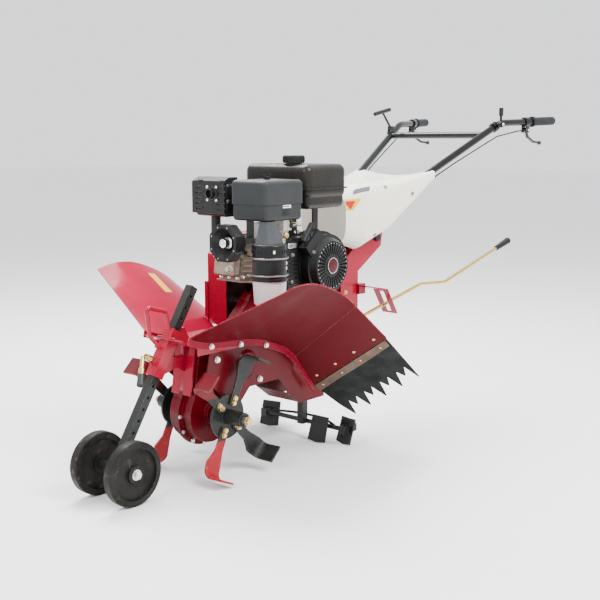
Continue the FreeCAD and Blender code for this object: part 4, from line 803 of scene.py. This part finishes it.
def column_trim():
    """Bolts on the deck plate and on both sides of the engine frame."""
    bm = bmesh.new()
    lo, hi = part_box("deck_plate")
    for back, y in ((0.0461, 0.05), (0.0461, -0.05), (0.1261, 0.06), (0.1261, -0.06), (0.2061, 0.055),
                    (0.0811, 0.0)):
        spot, normal = on_surface("deck_plate", (hi.x - back, y, hi.z + 0.27), -UP)
        if spot is not None:
            hex_bolt(bm, spot, normal, 0.0035)
    lo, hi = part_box("engine_frame")
    for x, z in ((0.51, 0.05), (0.51, 0.085), (0.34, 0.095), (0.22, 0.095), (0.08, 0.18), (0.14, 0.12)):
        for side in (-1, 1):
            start = (lo.x + x, side * 0.4, lo.z + z)
            spot, normal = on_surface("engine_frame", start, -side * ACROSS)
            if spot is not None:
                hex_bolt(bm, spot, normal, 0.0036)
    piece("frame_fasteners", bm, BRASSY)


def belt_cover_trim():
    """Rim bolts and pressed ribs on the belt cover."""
    lo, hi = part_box("belt_cover")
    bolts, ribs = bmesh.new(), bmesh.new()
    for along, up in ((0.1, 0.12), (0.9, 0.12), (0.1, 0.55), (0.9, 0.6), (0.25, 0.92), (0.7, 0.92)):
        start = within("belt_cover", along, 0.0, up) - ACROSS * 0.1
        spot, normal = on_surface("belt_cover", start, ACROSS)
        if spot is not None:
            hex_bolt(bolts, spot, normal, 0.0032)
    for i in range(5):
        x, z = lo.x + 0.07 + 0.022 * i, lo.z + 0.15
        ends = [on_surface("belt_cover", (x, lo.y - 0.1, z + rise), ACROSS)[0] for rise in (0, 0.075)]
        if all(end is not None for end in ends):
            bar(ribs, ends[0], ends[1], 0.0032, 14)
    piece("belt_cover_bolts", bolts, BRASSY)
    piece("belt_cover_ribs", ribs, RED)


def control_trim():
    """Pivot screws of the hand levers and the throttle, and the nut of the gear rod's stud."""
    bars = bmesh.new()
    for node in ("clutch_lever", "brake_lever"):
        lo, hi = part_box(node)
        for sign in (1, -1):
            start = (hi.x - 0.009, (lo.y + hi.y) / 2 + sign * 0.05, hi.z - 0.009)
            spot, _ = on_surface("control_mounts", start, ACROSS * -sign)
            if spot is not None:
                hex_bolt(bars, spot, ACROSS * sign, 0.0022)
    lo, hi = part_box("throttle_lever")
    spot, _ = on_surface("control_mounts", ((lo.x + hi.x) / 2, hi.y + 0.1, lo.z + 0.012), -ACROSS)
    if spot is not None:
        hex_bolt(bars, spot, ACROSS, 0.0026)
    piece("lever_screws", bars, BRIGHT, "bars")
    rear = bmesh.new()
    lo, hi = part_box("rear_hitch")
    spot, _ = on_surface("rear_hitch", (lo.x + 0.011, hi.y + 0.2, lo.z + 0.208), -ACROSS)
    if spot is not None:
        hex_bolt(rear, spot, ACROSS, 0.004)
    piece("gear_rod_nut", rear, BRASSY)


def weld(bm, a, b, radius):
    """Adds a rippled weld bead from a to b."""
    a, b = Vector(a), Vector(b)
    count = max(4, int((b - a).length / (radius * 0.9)))
    profile = []
    for i in range(count * 3 + 1):
        swell = 1.0 + 0.16 * math.cos(math.tau * i / 3) + random.uniform(-0.06, 0.06)
        profile.append((radius * swell, (b - a).length * i / (count * 3)))
    turned(bm, a, b - a, profile, 8)


def welds():
    """Beads across the deck plate's front end and up both rear corners of the hitch box."""
    bm = bmesh.new()
    lo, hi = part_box("deck_plate")
    weld(bm, (hi.x - 0.012, -0.036, hi.z - 0.002), (hi.x - 0.012, 0.036, hi.z - 0.002), 0.0028)
    lo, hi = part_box("rear_hitch")
    for y in (0.066, -0.066):
        weld(bm, (lo.x + 0.004, y, lo.z + 0.016), (lo.x + 0.004, y, lo.z + 0.236), 0.0026)
    piece("weld_beads", bm, RED)


air_cleaner_trim()
muffler_trim()
lamp_trim()
canister_trim()
fan_trim()
governor()
fuel_line_fittings()
engine_fittings()
shroud_trim()
fender_trim()
flap_strip_trim()
column_trim()
belt_cover_trim()
control_trim()
welds()


# ---- stage, light and camera --------------------------------------------------------------------
def plane(name, corners, material):
    mesh = bpy.data.meshes.new(name)
    mesh.from_pydata(corners, [], [tuple(range(len(corners)))])
    obj = bpy.data.objects.new(name, mesh)
    bpy.context.scene.collection.objects.link(obj)
    dress(obj, material)
    return obj


def studio():
    s = Surface("studio_floor", (0.93, 0.93, 0.93), 0.8, gloss=0.2)
    s.tint(s.ramp(s.noise(0.7, 2), 0.3, 0.7), (0.915, 0.915, 0.92), 0.6)
    half, drop = 30, -0.0005
    corners = [(-half, -half, drop), (half, -half, drop), (half, half, drop), (-half, half, drop)]
    floor = plane("studio_floor", corners, s.done())
    world = bpy.data.worlds.new("studio")
    bpy.context.scene.world = world
    world.use_nodes = True
    world.node_tree.nodes["Background"].inputs["Color"].default_value = (0.97, 0.98, 1.0, 1)
    world.node_tree.nodes["Background"].inputs["Strength"].default_value = 1.6
    lamps = (("key", (0.2, 2.6, 3.0), 1.6, 180, (1, 0.985, 0.96)),
             ("front", (3.4, 0.2, 2.2), 1.2, 60, (0.96, 0.98, 1)),
             ("top", (-0.3, -1.2, 3.2), 2.0, 260, (1, 1, 1)))
    for name, spot, size, power, tint in lamps:
        light = bpy.data.lights.new(name, "AREA")
        light.size = size
        light.energy = power
        light.color = tint
        obj = bpy.data.objects.new(name, light)
        obj.location = spot
        obj.rotation_euler = (Vector((0, 0, 0.45)) - Vector(spot)).to_track_quat("-Z", "Y").to_euler()
        bpy.context.scene.collection.objects.link(obj)


def camera():
    """Camera whose place, turn and lens were fitted to the photograph."""
    lens = bpy.data.cameras.new("camera")
    lens.sensor_width = 36
    lens.lens = 59.24
    obj = bpy.data.objects.new("camera", lens)
    yaw, pitch = math.radians(40.538), math.radians(9.108)
    look = Vector((-math.cos(yaw) * math.cos(pitch), -math.sin(yaw) * math.cos(pitch), -math.sin(pitch)))
    obj.location = (2.582, 2.080, 0.976)
    obj.rotation_euler = look.to_track_quat("-Z", "Y").to_euler()
    bpy.context.scene.collection.objects.link(obj)
    bpy.context.scene.camera = obj


studio()
camera()
